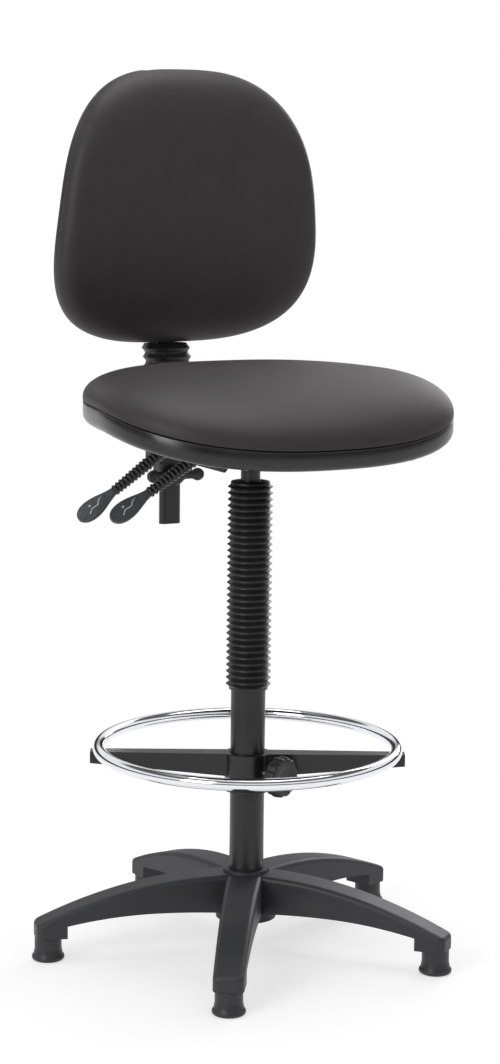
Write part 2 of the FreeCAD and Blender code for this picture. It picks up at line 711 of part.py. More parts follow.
def section(ends, point, first, second, corner):
    """Closed wire: the first curve, a side, the second curve and the other side.

    A corner size cuts the meeting of the first curve and the sides with an arc.
    """
    left, right = ends
    span = right - left
    toward = 1 if second(0) > first(0) else -1
    inner = [left + corner + (span - 2 * corner) * i / 8 for i in range(9)]
    outer = [right - span * i / 8 for i in range(9)]
    first_points = [point(x, first(x)) for x in inner]
    second_points = [point(x, second(x)) for x in outer]
    edges = [spline(first_points)]
    lift = toward * corner
    if corner:
        side_foot = point(right, first(right) + lift)
        knee = point(right - 0.29 * corner, first(right) + 0.29 * lift)
        edges.append(Part.Arc(first_points[-1], knee, side_foot).toShape())
        edges.append(Part.makeLine(side_foot, second_points[0]))
    else:
        edges.append(Part.makeLine(first_points[-1], second_points[0]))
    edges.append(spline(second_points))
    if corner:
        side_foot = point(left, first(left) + lift)
        knee = point(left + 0.29 * corner, first(left) + 0.29 * lift)
        edges.append(Part.makeLine(second_points[-1], side_foot))
        edges.append(Part.Arc(side_foot, knee, first_points[0]).toShape())
    else:
        edges.append(Part.makeLine(second_points[-1], first_points[0]))
    return Part.Wire(edges)


def crown(rim, full, share, side):
    """Foam's thickness: its rim at the edge, swelling to the full height over the middle."""
    return rim + (full - rim) * (1 - abs(side) ** 4) * (1 - abs(share) ** 4)


# ---------------------------------------------------------------- seat
def seat_pan():
    outside = seat_layer(lambda s, t: -PAN_DEPTH, lambda s, t: 0.0, 0.0, PAN_CORNER_R)
    inside = seat_layer(lambda s, t: -PAN_DEPTH + PAN_WALL, lambda s, t: 5.0, PAN_WALL,
                        PAN_CORNER_R - PAN_WALL)
    return outside.cut(inside).cut(seat_bolt_set(FACE_GAP))


def seat_board_levels():
    low = -PAN_DEPTH + PAN_WALL + SOFT_GAP
    return low, low + SEAT_BOARD_T


def seat_board():
    low, high = seat_board_levels()
    board = seat_layer(lambda s, t: low, lambda s, t: high, PAN_WALL + SEAT_BOARD_INSET)
    return board.cut(seat_bolt_set(0.0))


def seat_cushion():
    """Foam block: a skirt inside the pan and a crowned pad that overhangs the pan's rim."""
    pad = seat_layer(lambda s, t: SOFT_GAP, lambda s, t: crown(CUSHION_RIM, CUSHION_CROWN, s, t), 0.0)
    floor = seat_board_levels()[1] + SOFT_GAP
    skirt = seat_layer(lambda s, t: floor, lambda s, t: 8.0, PAN_WALL + SEAT_BOARD_INSET)
    return pad.fuse(skirt)


def seat_bolt_places():
    x = MECH_HALF + MECH_FLANGE / 2
    return [(side * x, y) for y in SEAT_BOLT_YS for side in (-1, 1)]


def seat_bolt_set(gap):
    """Bolts from the mechanism's flange up into the board, grown by a gap where a hole is wanted."""
    bolts = []
    for x, y in seat_bolt_places():
        under = MECH_TOP_Z - MECH_WALL
        top = PAN_UNDER_Z + PAN_WALL + SOFT_GAP + SEAT_BOLT_DEPTH
        head = cylinder(SEAT_BOLT_HEAD_R, SEAT_BOLT_HEAD_H, vec(x, y, under - SEAT_BOLT_HEAD_H))
        shank = cylinder(SEAT_BOLT_R + gap, top - under, vec(x, y, under))
        bolts.append(head.fuse(shank))
    return bolts


# ---------------------------------------------------------------- mechanism
def height_lever_ball():
    return vec(LEVER_X, HEIGHT_LEVER_Y, HEIGHT_LEVER_Z)


def tilt_lever_ball():
    return vec(LEVER_X, TILT_LEVER_Y, TILT_LEVER_Z)


def mechanism_housing():
    """Pressed channel, open below, with side flanges that bolt to the seat; its nose rises to the front."""
    left = -MECH_HALF
    outline = [
        vec(left, MECH_FRONT_Y, MECH_TOP_Z), vec(left, MECH_REAR_Y, MECH_TOP_Z),
        vec(left, MECH_REAR_Y, MECH_BOTTOM_Z), vec(left, -CYLINDER_R - 2 * SOCKET_WALL, MECH_BOTTOM_Z),
        vec(left, MECH_FRONT_Y, MECH_NOSE_Z),
    ]
    shell = Part.Face(Part.makePolygon(outline + outline[:1])).extrude(vec(2 * MECH_HALF, 0, 0))
    flange_half = MECH_HALF + MECH_FLANGE
    flange = box(-flange_half, flange_half, MECH_FRONT_Y + 8, MECH_REAR_Y - 4,
                 MECH_TOP_Z - MECH_WALL, MECH_TOP_Z)
    inside = box(-MECH_HALF + MECH_WALL, MECH_HALF - MECH_WALL, MECH_FRONT_Y + MECH_WALL, MECH_REAR_Y + 1,
                 MECH_BOTTOM_Z - 1, MECH_TOP_Z - MECH_WALL)
    body = shell.fuse(flange).cut(inside).removeSplitter()
    holes = [cylinder(PIVOT_R, 2 * MECH_HALF, vec(-MECH_HALF, PIVOT_Y, PIVOT_Z), X_AXIS)]
    for place in (height_lever_ball(), tilt_lever_ball()):
        start = vec(-MECH_HALF - 1, place.y, place.z)
        holes.append(cylinder(LEVER_BALL_R + RUN_GAP, MECH_WALL + 2, start, X_AXIS))
    return body.cut(holes + seat_bolt_set(0.0))


def taper_socket():
    """Conical socket that the cylinder's taper jams in, held by a cross plate between the walls."""
    top = MECH_BOTTOM_Z + SOCKET_H
    body = cylinder(CYLINDER_R + SOCKET_WALL, SOCKET_H, vec(0, 0, MECH_BOTTOM_Z))
    half = MECH_HALF - MECH_WALL
    plate = box(-half, half, -CYLINDER_R - SOCKET_WALL, CYLINDER_R + SOCKET_WALL,
                top - 2 * MECH_WALL, top - MECH_WALL)
    taper = Part.makeCone(CYLINDER_R, TAPER_TIP_R, TAPER_LENGTH, vec(0, 0, TAPER_Z))
    straight = cylinder(CYLINDER_R, TAPER_Z - CYLINDER_BOTTOM_Z, vec(0, 0, CYLINDER_BOTTOM_Z))
    return body.fuse(plate).cut([taper, straight]).removeSplitter()


def pivot_pin():
    over = 3.0
    pin = cylinder(PIVOT_R, 2 * (MECH_HALF + over), vec(-MECH_HALF - over, PIVOT_Y, PIVOT_Z), X_AXIS)
    for x in (-MECH_HALF - over, MECH_HALF):
        pin = pin.fuse(cylinder(1.5 * PIVOT_R, over, vec(x, PIVOT_Y, PIVOT_Z), X_AXIS))
    return pin


# ---------------------------------------------------------------- levers, drawn along +X from the ball
def height_lever_place(shape):
    return lever_place(shape, height_lever_ball(), HEIGHT_LEVER_SLOPE)


def tilt_lever_place(shape):
    return lever_place(shape, tilt_lever_ball(), TILT_LEVER_SLOPE)


def lever_place(shape, ball, slope):
    """Put a lever drawn along +X on its ball, pointing out to -X and down by its slope."""
    return placed(placed(shape, 180), -slope, ball, Y_AXIS)


def lever_rod(inner):
    rod = cylinder(LEVER_ROD_R, SLEEVE_END + inner, vec(-inner, 0, 0), X_AXIS)
    spigot = cylinder(LEVER_SPIGOT_R, LEVER_SPIGOT_LENGTH, vec(SLEEVE_END, 0, 0), X_AXIS)
    return rod.fuse([spigot, Part.makeSphere(LEVER_BALL_R)])


def tilt_lever_rod():
    return tilt_lever_place(lever_rod(LEVER_INNER))


def height_lever_rod():
    """Lever rod whose inner end is a bent rocker that lies over the gas lift's button."""
    level = BUTTON_TOP_Z + FACE_GAP + ROCKER_R
    ball = height_lever_ball()
    elbow = ball.add(vec(LEVER_INNER, 0, 0))
    knee = vec(ROCKER_KNEE_X, ROCKER_KNEE_Y, level)
    tip = vec(0, 0, level)
    rod = height_lever_place(lever_rod(0.0))
    pieces = [Part.makeSphere(ROCKER_R, bend) for bend in (elbow, knee, tip)]
    for start, end in ((ball, elbow), (elbow, knee), (knee, tip)):
        run = end.sub(start)
        pieces.append(cylinder(ROCKER_R, run.Length, start, run))
    return rod.fuse(pieces)


def lever_sleeve():
    """Ribbed rubber grip that tapers from the housing to the paddle."""
    length = SLEEVE_END - SLEEVE_START
    pitch = length / SLEEVE_RIBS
    outline = [(LEVER_ROD_R, SLEEVE_START)]
    for i in range(SLEEVE_RIBS):
        start = SLEEVE_START + i * pitch
        radius = SLEEVE_ROOT_R + (SLEEVE_TIP_R - SLEEVE_ROOT_R) * i / (SLEEVE_RIBS - 1)
        low = radius - SLEEVE_RIB_DEPTH
        outline += [(low, start), (radius, start + 0.25 * pitch), (radius, start + 0.55 * pitch),
                    (low, start + 0.8 * pitch)]
    outline += [(SLEEVE_TIP_R - SLEEVE_RIB_DEPTH, SLEEVE_END), (LEVER_ROD_R, SLEEVE_END)]
    return placed(turned(outline), 90, ORIGIN, Y_AXIS)


def lever_paddle():
    """Leaf-shaped grip: narrow at the sleeve, widest near its round end."""
    start = SLEEVE_END + SOFT_GAP
    length = PADDLE_END - start
    stations = ((0.0, PADDLE_HALF_ROOT), (0.3, 0.72 * PADDLE_HALF),
                (0.6, PADDLE_HALF), (0.82, 0.86 * PADDLE_HALF))
    side = [vec(start + length * s, half, -PADDLE_T / 2) for s, half in stations]
    tip = vec(PADDLE_END, 0, -PADDLE_T / 2)
    other = [vec(p.x, -p.y, p.z) for p in reversed(side)]
    edges = [spline(side + [tip] + other), Part.makeLine(other[-1], side[0])]
    leaf = Part.Face(Part.Wire(edges)).extrude(vec(0, 0, PADDLE_T))
    rims = [edge for edge in leaf.Edges if edge.Length > length]
    leaf = leaf.makeFillet(PADDLE_EDGE_R, rims)
    leaf = leaf.cut(cylinder(LEVER_SPIGOT_R, LEVER_SPIGOT_LENGTH, vec(SLEEVE_END, 0, 0), X_AXIS))
    return placed(leaf, -PADDLE_TWIST, ORIGIN, X_AXIS)


# ---------------------------------------------------------------- back support
def back_carrier():
    """Inverted channel that swings on the pivot pin and ends at the stem's clamp."""
    half = CARRIER_HALF
    outer = box(-half, half, PIVOT_Y, CLAMP_FRONT_Y, CARRIER_BOTTOM_Z, CARRIER_TOP_Z)
    barrel = cylinder(CARRIER_BARREL_R, 2 * half, vec(-half, PIVOT_Y, PIVOT_Z), X_AXIS)
    inner_half = half - CARRIER_WALL
    inside = box(-inner_half, inner_half, PIVOT_Y + CARRIER_BARREL_R + CARRIER_WALL,
                 CLAMP_FRONT_Y - CARRIER_WALL, CARRIER_BOTTOM_Z - 1, CARRIER_TOP_Z - CARRIER_WALL)
    pin_hole = cylinder(PIVOT_R + RUN_GAP, 2 * half, vec(-half, PIVOT_Y, PIVOT_Z), X_AXIS)
    return outer.fuse(barrel).removeSplitter().cut([inside, pin_hole])


def lock_plates():
    """Friction plates on the carrier's cheeks that the back lever grips."""
    plates = []
    start = PIVOT_Y + CARRIER_BARREL_R / 2
    for x in (-CARRIER_HALF - LOCK_PLATE_T, CARRIER_HALF):
        plate = box(x, x + LOCK_PLATE_T, start, start + LOCK_PLATE_LENGTH,
                    PIVOT_Z - LOCK_PLATE_H / 2, PIVOT_Z + LOCK_PLATE_H / 2)
        hole = cylinder(PIVOT_R + 1.0, LOCK_PLATE_T, vec(x, PIVOT_Y, PIVOT_Z), X_AXIS)
        plates.append(plate.cut(hole))
    return Part.makeCompound(plates)


def upright_block(half_w, y0, y1, z0, z1, corner):
    block = box(-half_w, half_w, y0, y1, z0, z1)
    uprights = [e for e in block.Edges if abs(e.Vertexes[0].Z - e.Vertexes[-1].Z) > 1]
    return block.makeFillet(corner, uprights)


def stem_slot(gap, z0, z1):
    return flat_oval(STEM_HALF_W + gap, STEM_HALF_T + gap, vec(0, STEM_Y, z0)).extrude(vec(0, 0, z1 - z0))


def stem_clamp():
    body = upright_block(CLAMP_HALF_W, CLAMP_FRONT_Y, CLAMP_REAR_Y,
                         CLAMP_BOTTOM_Z, CLAMP_TOP_Z, CLAMP_CORNER_R)
    neck_z = CLAMP_BOTTOM_Z - CLAMP_NECK_DROP
    neck = upright_block(CLAMP_NECK_HALF_W, CLAMP_FRONT_Y, CLAMP_REAR_Y - CLAMP_NECK_INSET,
                         neck_z, CLAMP_TOP_Z, CLAMP_CORNER_R / 2)
    flat = box(-CARRIER_HALF, CARRIER_HALF, CLAMP_FRONT_Y, STEM_Y, CARRIER_BOTTOM_Z, CARRIER_TOP_Z - 3)
    body = body.fuse([neck, flat]).removeSplitter()
    front = vec(0, CLAMP_FRONT_Y - 1, KNOB_Z)
    stud_hole = cylinder(STUD_R + RUN_GAP, STEM_Y - CLAMP_FRONT_Y + 1, front, Y_AXIS)
    return body.cut([stem_slot(FACE_GAP, 0, STEM_TOP_Z), stud_hole])


def clamp_knob():
    """Two-winged hand knob in front of the stem."""
    face = CLAMP_FRONT_Y - FACE_GAP
    depth = KNOB_T + 4
    hub = cylinder(KNOB_HUB_R, depth, vec(0, face - depth, KNOB_Z), Y_AXIS)
    reach = KNOB_SPAN / 2 - KNOB_END_R
    wing_t = KNOB_T - 5
    wing_y = face - 4 - wing_t
    wing_half = 0.75 * KNOB_END_R
    pieces = [box(-reach, reach, wing_y, wing_y + wing_t, KNOB_Z - wing_half, KNOB_Z + wing_half)]
    for side in (-1, 1):
        pieces.append(cylinder(KNOB_END_R, wing_t, vec(side * reach, wing_y, KNOB_Z), Y_AXIS))
    return hub.fuse(pieces).removeSplitter().cut(clamp_stud())


def clamp_stud():
    """Stud from inside the knob, through the clamp's front wall, to the stem."""
    start = CLAMP_FRONT_Y - FACE_GAP - STUD_IN_KNOB
    end = STEM_Y - STEM_HALF_T - 2 * FACE_GAP
    return cylinder(STUD_R, end - start, vec(0, start, KNOB_Z), Y_AXIS)


def bent_path(points, radius):
    """Wire of straight runs joined by tangent arcs, in the YZ plane."""
    edges = []
    start = points[0]
    for before, corner, after in zip(points, points[1:], points[2:]):
        inward = corner.sub(before).normalize()
        outward = after.sub(corner).normalize()
        turn = inward.getAngle(outward)
        trim = radius * math.tan(turn / 2)
        arc_start = corner.sub(FreeCAD.Vector(inward).multiply(trim))
        arc_end = corner.add(FreeCAD.Vector(outward).multiply(trim))
        middle_way = outward.sub(inward).normalize()
        sagitta = radius / math.cos(turn / 2) - radius
        middle = corner.add(middle_way.multiply(sagitta))
        edges.append(Part.makeLine(start, arc_start))
        edges.append(Part.Arc(arc_start, middle, arc_end).toShape())
        start = arc_end
    edges.append(Part.makeLine(start, points[-1]))
    return Part.Wire(edges)


def stem_points():
    lean = math.tan(math.radians(STEM_LEAN))
    shoulder_y = STEM_Y + STEM_KINK_OUT
    top_y = shoulder_y - lean * (STEM_TOP_Z - STEM_SHOULDER_Z)
    return [
        vec(0, STEM_Y, STEM_BOTTOM_Z), vec(0, STEM_Y, STEM_KINK_Z),
        vec(0, shoulder_y, STEM_SHOULDER_Z), vec(0, top_y, STEM_TOP_Z),
    ]


def back_stem():
    profile = flat_oval(STEM_HALF_W, STEM_HALF_T, stem_points()[0]).OuterWire
    return bent_path(stem_points(), STEM_BEND_R).makePipeShell([profile], True, False)


def stem_end_cap():
    """Plug that closes the stem's foot, flush with its sides."""
    return stem_slot(0.0, STEM_BOTTOM_Z - CAP_H, STEM_BOTTOM_Z)


def cover_centre(share):
    return STEM_Y + COVER_SHIFT * share ** 2


def stem_bellows():
    """Finned rubber cover of the stem, standing on the clamp; it follows the stem's kink."""
    height = COVER_TOP_Z - CLAMP_TOP_Z
    pitch = height / COVER_FINS
    valley_w, valley_t = COVER_HALF_W - COVER_FIN_DEPTH, COVER_HALF_T - COVER_FIN_DEPTH
    outside, inside = [], []
    for i in range(COVER_FINS):
        z = CLAMP_TOP_Z + i * pitch
        y = cover_centre((i + 0.5) / COVER_FINS)
        fin_z = z + 0.3 * pitch
        outside.append(flat_oval(valley_w, valley_t, vec(0, y, z)).extrude(vec(0, 0, pitch)))
        fin = flat_oval(COVER_HALF_W, COVER_HALF_T, vec(0, y, fin_z))
        outside.append(fin.extrude(vec(0, 0, 0.4 * pitch)))
        bore = flat_oval(valley_w - COVER_WALL, valley_t - COVER_WALL, vec(0, y, z))
        inside.append(bore.extrude(vec(0, 0, pitch)))
    return outside[0].fuse(outside[1:]).cut(inside)


# ---------------------------------------------------------------- back pad
def back_board():
    board = back_layer(lambda s, t: -BACK_BOARD_T, lambda s, t: 0.0, BACK_BOARD_INSET)
    return board.cut(back_screw_set())


def back_cushion():
    foam = back_layer(lambda s, t: -crown(BACK_RIM, BACK_CROWN, s, t), lambda s, t: -SOFT_GAP, 0.0)
    pocket = back_layer(lambda s, t: -BACK_BOARD_T - SOFT_GAP, lambda s, t: 1.0, BACK_BOARD_INSET - SOFT_GAP)
    return foam.cut(pocket)


def shell_depth(share, side, lost):
    """Depth of the rear shell: its rim at the edge, its full depth over the stem."""
    swell = (1 - abs(side) ** 2.5) * (1 - abs(share) ** 6)
    return SHELL_RIM + (SHELL_DEPTH - SHELL_RIM) * swell - lost


def back_shell():
    outside = back_layer(lambda s, t: 0.0, lambda s, t: shell_depth(s, t, 0.0), 0.0)
    inside = back_layer(lambda s, t: -1.0, lambda s, t: shell_depth(s, t, SHELL_WALL), SHELL_WALL)
    shell = outside.cut(inside)
    return shell.cut(cover_mouth())


def cover_mouth():
    """Opening at the shell's foot that the stem and its finned cover pass through."""
    centre = vec(0, STEM_Y + COVER_SHIFT, COVER_TOP_Z - 30)
    return flat_oval(COVER_HALF_W + 1, COVER_HALF_T + 1, centre).extrude(vec(0, 0, 60))


def bracket_place(shape):
    """Put a piece drawn about the origin behind the board, leaning with the stem's top run."""
    points = stem_points()
    run = points[-1].sub(points[-2])
    share = (BRACKET_Z - points[-2].z) / run.z
    centre = points[-2].add(FreeCAD.Vector(run).multiply(share))
    lean = math.degrees(math.atan2(-run.y, run.z))
    return placed(shape, lean, centre, X_AXIS)


def back_bracket():
    """Steel channel wrapped round the stem's top, its flat face towards the board."""
    half = BRACKET_HEIGHT / 2
    front = -STEM_HALF_T - BRACKET_T
    plate = box(-BRACKET_HALF_W, BRACKET_HALF_W, front, front + BRACKET_T, -half, half)
    strap_w = STEM_HALF_W + BRACKET_T
    strap = box(-strap_w, strap_w, front, STEM_HALF_T + BRACKET_T, -half, half)
    slot = flat_oval(STEM_HALF_W, STEM_HALF_T, vec(0, 0, -half - 1)).extrude(vec(0, 0, 2 * half + 2))
    return bracket_place(plate.fuse(strap).cut(slot)).cut(back_screw_set())


def back_screw_set():
    screws = []
    rear = -STEM_HALF_T
    for x in (-BACK_SCREW_HALF_X, BACK_SCREW_HALF_X):
        for z in (-BACK_SCREW_HALF_Z, BACK_SCREW_HALF_Z):
            head = cylinder(BACK_SCREW_HEAD_R, BACK_SCREW_HEAD_H, vec(x, rear, z), Y_AXIS)
            reach = BRACKET_T + BACK_SCREW_DEPTH
            shank = cylinder(BACK_SCREW_R, reach, vec(x, rear - reach, z), Y_AXIS)
            screws.append(bracket_place(head.fuse(shank)))
    return screws


# ---------------------------------------------------------------- build
def main():
    os.makedirs("parts", exist_ok=True)
    for name, piece in base_pieces().items():
        save(piece, name)
    for number, angle in enumerate(arm_angles(), 1):
        save(placed(floor_glide(), 0, polar(FOOT_CIRCLE_R, angle)), "floor_glide_%d" % number)
    pieces = {
        "glide_pins": glide_pins, "column_tube": column_tube, "column_bush": column_bush,
        "thrust_bearing": thrust_bearing, "piston_rod": piston_rod, "piston": piston,
        "column_clip": column_clip, "lift_cylinder": lift_cylinder, "release_button": release_button,
        "column_bellows": column_bellows, "foot_ring_tube": foot_ring_tube, "foot_ring_hub": foot_ring_hub,
        "foot_ring_liner": foot_ring_liner, "ring_screws": ring_screws, "ring_knob": ring_knob,
        "ring_knob_stud": ring_knob_stud, "seat_pan": seat_pan, "seat_board": seat_board,
        "seat_cushion": seat_cushion, "mechanism_housing": mechanism_housing, "taper_socket": taper_socket,
        "pivot_pin": pivot_pin, "height_lever_rod": height_lever_rod, "tilt_lever_rod": tilt_lever_rod,
        "back_carrier": back_carrier, "lock_plates": lock_plates, "stem_clamp": stem_clamp,
        "clamp_knob": clamp_knob, "clamp_stud": clamp_stud, "back_stem": back_stem,
        "stem_end_cap": stem_end_cap, "stem_bellows": stem_bellows, "back_board": back_board,
        "back_cushion": back_cushion, "back_shell": back_shell, "back_bracket": back_bracket,
    }
    for name, build in pieces.items():
        save(build(), name)
    save(Part.makeCompound(seat_bolt_set(0.0)), "seat_bolts")
    save(Part.makeCompound(back_screw_set()), "back_screws")
    for lever, place in (("height_lever", height_lever_place), ("tilt_lever", tilt_lever_place)):
        save(place(lever_sleeve()), lever + "_sleeve")
        save(place(lever_paddle()), lever + "_paddle")


main()
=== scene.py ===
"""Drafting chair with a foot ring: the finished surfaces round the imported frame, in metres."""
import json
import math

import bpy
import numpy as np
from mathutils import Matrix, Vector

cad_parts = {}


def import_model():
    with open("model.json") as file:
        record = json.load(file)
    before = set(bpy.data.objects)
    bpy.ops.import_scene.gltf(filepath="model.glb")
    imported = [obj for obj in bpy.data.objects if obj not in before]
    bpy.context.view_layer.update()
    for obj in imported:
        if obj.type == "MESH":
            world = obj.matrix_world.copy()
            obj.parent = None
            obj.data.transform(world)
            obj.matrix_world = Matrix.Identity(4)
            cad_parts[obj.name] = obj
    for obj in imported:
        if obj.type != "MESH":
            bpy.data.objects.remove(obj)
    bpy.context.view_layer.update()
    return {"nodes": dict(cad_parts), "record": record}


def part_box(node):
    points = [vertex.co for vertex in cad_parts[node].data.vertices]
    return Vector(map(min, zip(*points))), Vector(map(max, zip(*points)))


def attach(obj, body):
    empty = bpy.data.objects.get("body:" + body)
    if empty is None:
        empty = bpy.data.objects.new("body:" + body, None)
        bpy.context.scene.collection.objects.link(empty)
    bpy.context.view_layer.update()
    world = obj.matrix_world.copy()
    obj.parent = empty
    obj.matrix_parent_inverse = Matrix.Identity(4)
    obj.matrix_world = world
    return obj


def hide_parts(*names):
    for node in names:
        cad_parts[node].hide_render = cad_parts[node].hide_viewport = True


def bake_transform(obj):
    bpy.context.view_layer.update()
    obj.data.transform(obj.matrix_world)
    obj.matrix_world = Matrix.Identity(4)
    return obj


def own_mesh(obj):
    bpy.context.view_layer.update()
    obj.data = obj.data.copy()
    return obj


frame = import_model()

MM = 0.001
TAU = 2 * math.pi

# ------------------------------------------------------------------ sizes, in millimetres
SEAT_WIDTH, SEAT_LENGTH = 510.0, 443.0
SEAT_CENTRE_Y = -26.9
SEAM_Z = 806.5
SEAT_TAPER = 0.15
SEAT_POWER_FRONT, SEAT_POWER_REAR = 2.35, 2.93
WATERFALL, WATERFALL_POWER = 44.8, 1.81
SEAT_CROWN = 47.0
PAN_DEPTH, PAN_WALL, PAN_CORNER = 31.0, 3.0, 14.0

BACK_WIDTH, BACK_HEIGHT = 414.3, 406.8
BACK_Y, BACK_Z, BACK_RAKE = 231.5, 1068.0, math.radians(6.13)
BACK_TAPER = -0.109
BACK_POWER_TOP, BACK_POWER_FOOT = 2.91, 2.84
BACK_WRAP, BACK_BOW = 32.3, 23.4
BACK_CROWN = 40.0

TUBE_R, CYLINDER_R = 25.0, 14.0
FIN_R, VALLEY_R, FIN_COUNT = 32.5, 28.2, 32
COVER_HALF_W, COVER_HALF_T, COVER_FINS = 38.0, 23.0, 8
STEM_Y, COVER_SHIFT = 262.0, 18.0

RING_R, RING_TUBE_R, RING_Z = 216.0, 9.0, 300.0
GLIDE_R, GLIDE_STEM_R, GLIDE_TOP = 23.5, 19.5, 35.0

LEVER_BALL_X = -54.5
LEVERS = {"height_lever": (34.0, 733.0, 32.0), "tilt_lever": (157.0, 724.0, 35.0)}   # ball's Y and Z, slope
PADDLE_TWIST = math.radians(45.0)
SLEEVE_START, SLEEVE_END, PADDLE_END = 11.0, 107.0, 175.0
SLEEVE_ROOT_R, SLEEVE_TIP_R, SLEEVE_RIBS = 10.8, 8.0, 14


# ------------------------------------------------------------------ mesh helpers
def signed_volume(points, triangles):
    a, b, c = (points[triangles[:, i]] for i in range(3))
    return float(np.einsum("ij,ij->i", a, np.cross(b, c)).sum()) / 6


def build(name, points, faces, sharp=40.0):
    """Mesh object from points in millimetres and faces of 3 or 4 corners, its faces turned outwards."""
    triangles = np.array([(f[0], f[i], f[i + 1]) for f in faces for i in range(1, len(f) - 1)])
    if signed_volume(points, triangles) < 0:
        faces = [tuple(reversed(f)) for f in faces]
    mesh = bpy.data.meshes.new(name)
    mesh.from_pydata((points * MM).tolist(), [], faces)
    mesh.update()
    mesh.shade_smooth()
    mesh.set_sharp_from_angle(angle=math.radians(sharp))
    piece = bpy.data.objects.new(name, mesh)
    bpy.context.scene.collection.objects.link(piece)
    return piece


def quads(rows, columns, wrap_rows=False):
    """Faces of a grid whose columns go round; the rows may go round too."""
    row = np.arange(rows if wrap_rows else rows - 1)
    i, j = np.meshgrid(row, np.arange(columns), indexing="ij")
    below = (i + 1) % rows
    beside = (j + 1) % columns
    corners = np.stack([i * columns + j, i * columns + beside, below * columns + beside, below * columns + j], -1)
    return [tuple(face) for face in corners.reshape(-1, 4).tolist()]


def ring_surface(name, grid, sharp=40.0):
    """Surface that closes both ways, such as a ring or a sleeve with a wall."""
    rows, columns = grid.shape[:2]
    return build(name, grid.reshape(-1, 3), quads(rows, columns, True), sharp)


def pole_surface(name, grid, sharp=40.0):
    """Closed surface whose first and last rows shrink to a point each."""
    rows, columns = grid.shape[:2]
    first, last = grid[0].mean(0), grid[-1].mean(0)
    body = grid[1:-1].reshape(-1, 3)
    points = np.vstack([body, first, last])
    inner = rows - 2
    faces = quads(inner, columns)
    start, end = len(body), len(body) + 1
    low = (inner - 1) * columns
    for j in range(columns):
        k = (j + 1) % columns
        faces.append((start, k, j))
        faces.append((end, low + j, low + k))
    return build(name, points, faces, sharp)


def turned(profile, columns=64):
    """Grid of a profile of (radius, height) points carried round the Z axis."""
    profile = np.asarray(profile, float)
    angle = np.linspace(0, TAU, columns, endpoint=False)
    radius, height = profile[:, :1], profile[:, 1:]
    return np.stack([radius * np.cos(angle), radius * np.sin(angle), height + 0 * angle], -1)


def rounded(profile, radius=1.0, steps=4):
    """Profile with each inner corner replaced by a quadratic curve that starts this far from it."""
    points = [np.asarray(p, float) for p in profile]
    result = [points[0]]
    for before, corner, after in zip(points, points[1:], points[2:]):
        back, on = before - corner, after - corner
        reach = min(radius, 0.45 * np.linalg.norm(back), 0.45 * np.linalg.norm(on))
        start = corner + back / np.linalg.norm(back) * reach
        end = corner + on / np.linalg.norm(on) * reach
        for s in np.linspace(0, 1, steps + 1):
            result.append((1 - s) ** 2 * start + 2 * s * (1 - s) * corner + s ** 2 * end)
    result.append(points[-1])
    return np.array(result)


def signed_power(value, power):
    return np.sign(value) * np.abs(value) ** power


def egg(angle, width, length, taper, power_high, power_low):
    """Rounded outline: a superellipse whose power differs between its halves and whose width tapers.

    Across is half the width times cos to the 2/power, widened by the taper along the length.
    """
    power = np.where(np.sin(angle) > 0, power_high, power_low)
    along = signed_power(np.sin(angle), 2 / power)
    across = signed_power(np.cos(angle), 2 / power) * (1 + taper * along)
    return across * width / 2, along * length / 2


def outline_angles(count):
    """Angles that step evenly but never land on an axis, where the superellipse has a flat spot."""
    return (np.arange(count) + 0.5) / count * TAU


# ------------------------------------------------------------------ material helpers
def srgb(code):
    """Linear colour from an sRGB hex code."""
    parts = [int(code[i:i + 2], 16) / 255 for i in (1, 3, 5)]
    return tuple(p / 12.92 if p <= 0.04045 else ((p + 0.055) / 1.055) ** 2.4 for p in parts) + (1.0,)


def node(tree, kind, settings=None, links=None):
    """One node: settings go to its properties or its sockets, links join other nodes' outputs to its sockets."""
    made = tree.nodes.new(kind)
    for key, value in (settings or {}).items():
        if hasattr(made, str(key)) and key not in made.inputs:
            setattr(made, key, value)
        else:
            made.inputs[key].default_value = value
    for key, output in (links or {}).items():
        tree.links.new(output, made.inputs[key])
    return made


def finish(name, surface):
    """New material with a Principled shader; the surface function adds its detail and returns shader settings."""
    material = bpy.data.materials.new(name)
    material.use_nodes = True
    tree = material.node_tree
    tree.nodes.clear()
    place = node(tree, "ShaderNodeTexCoord").outputs["Object"]
    settings, links = surface(tree, place)
    shader = node(tree, "ShaderNodeBsdfPrincipled", settings, links)
    node(tree, "ShaderNodeOutputMaterial", {}, {"Surface": shader.outputs[0]})
    return material


def noise(tree, place, size_mm, detail=3.0, roughness=0.5):
    """Noise whose blobs are about this many millimetres across."""
    settings = {"Scale": 1 / (size_mm * MM), "Detail": detail, "Roughness": roughness}
    return node(tree, "ShaderNodeTexNoise", settings, {"Vector": place}).outputs[0]


def ramp(tree, value, dark, light, low=0.35, high=0.65):
    """Colour that goes from one hex code to another as the value passes from low to high."""
    made = node(tree, "ShaderNodeValToRGB", {}, {"Fac": value})
    made.color_ramp.elements[0].position = low
    made.color_ramp.elements[1].position = high
    made.color_ramp.elements[0].color = srgb(dark)
    made.color_ramp.elements[1].color = srgb(light)
    return made.outputs[0]


def span(tree, value, low, high):
    """Value from 0 to 1 stretched to lie between low and high."""
    settings = {"To Min": low, "To Max": high}
    return node(tree, "ShaderNodeMapRange", settings, {"Value": value}).outputs[0]


def relief(tree, height, depth_mm, base=None):
    """Bump of the given real depth; a second bump may be laid on the first."""
    links = {"Height": height}
    if base is not None:
        links["Normal"] = base
    return node(tree, "ShaderNodeBump", {"Strength": 1.0, "Distance": depth_mm * MM}, links).outputs[0]


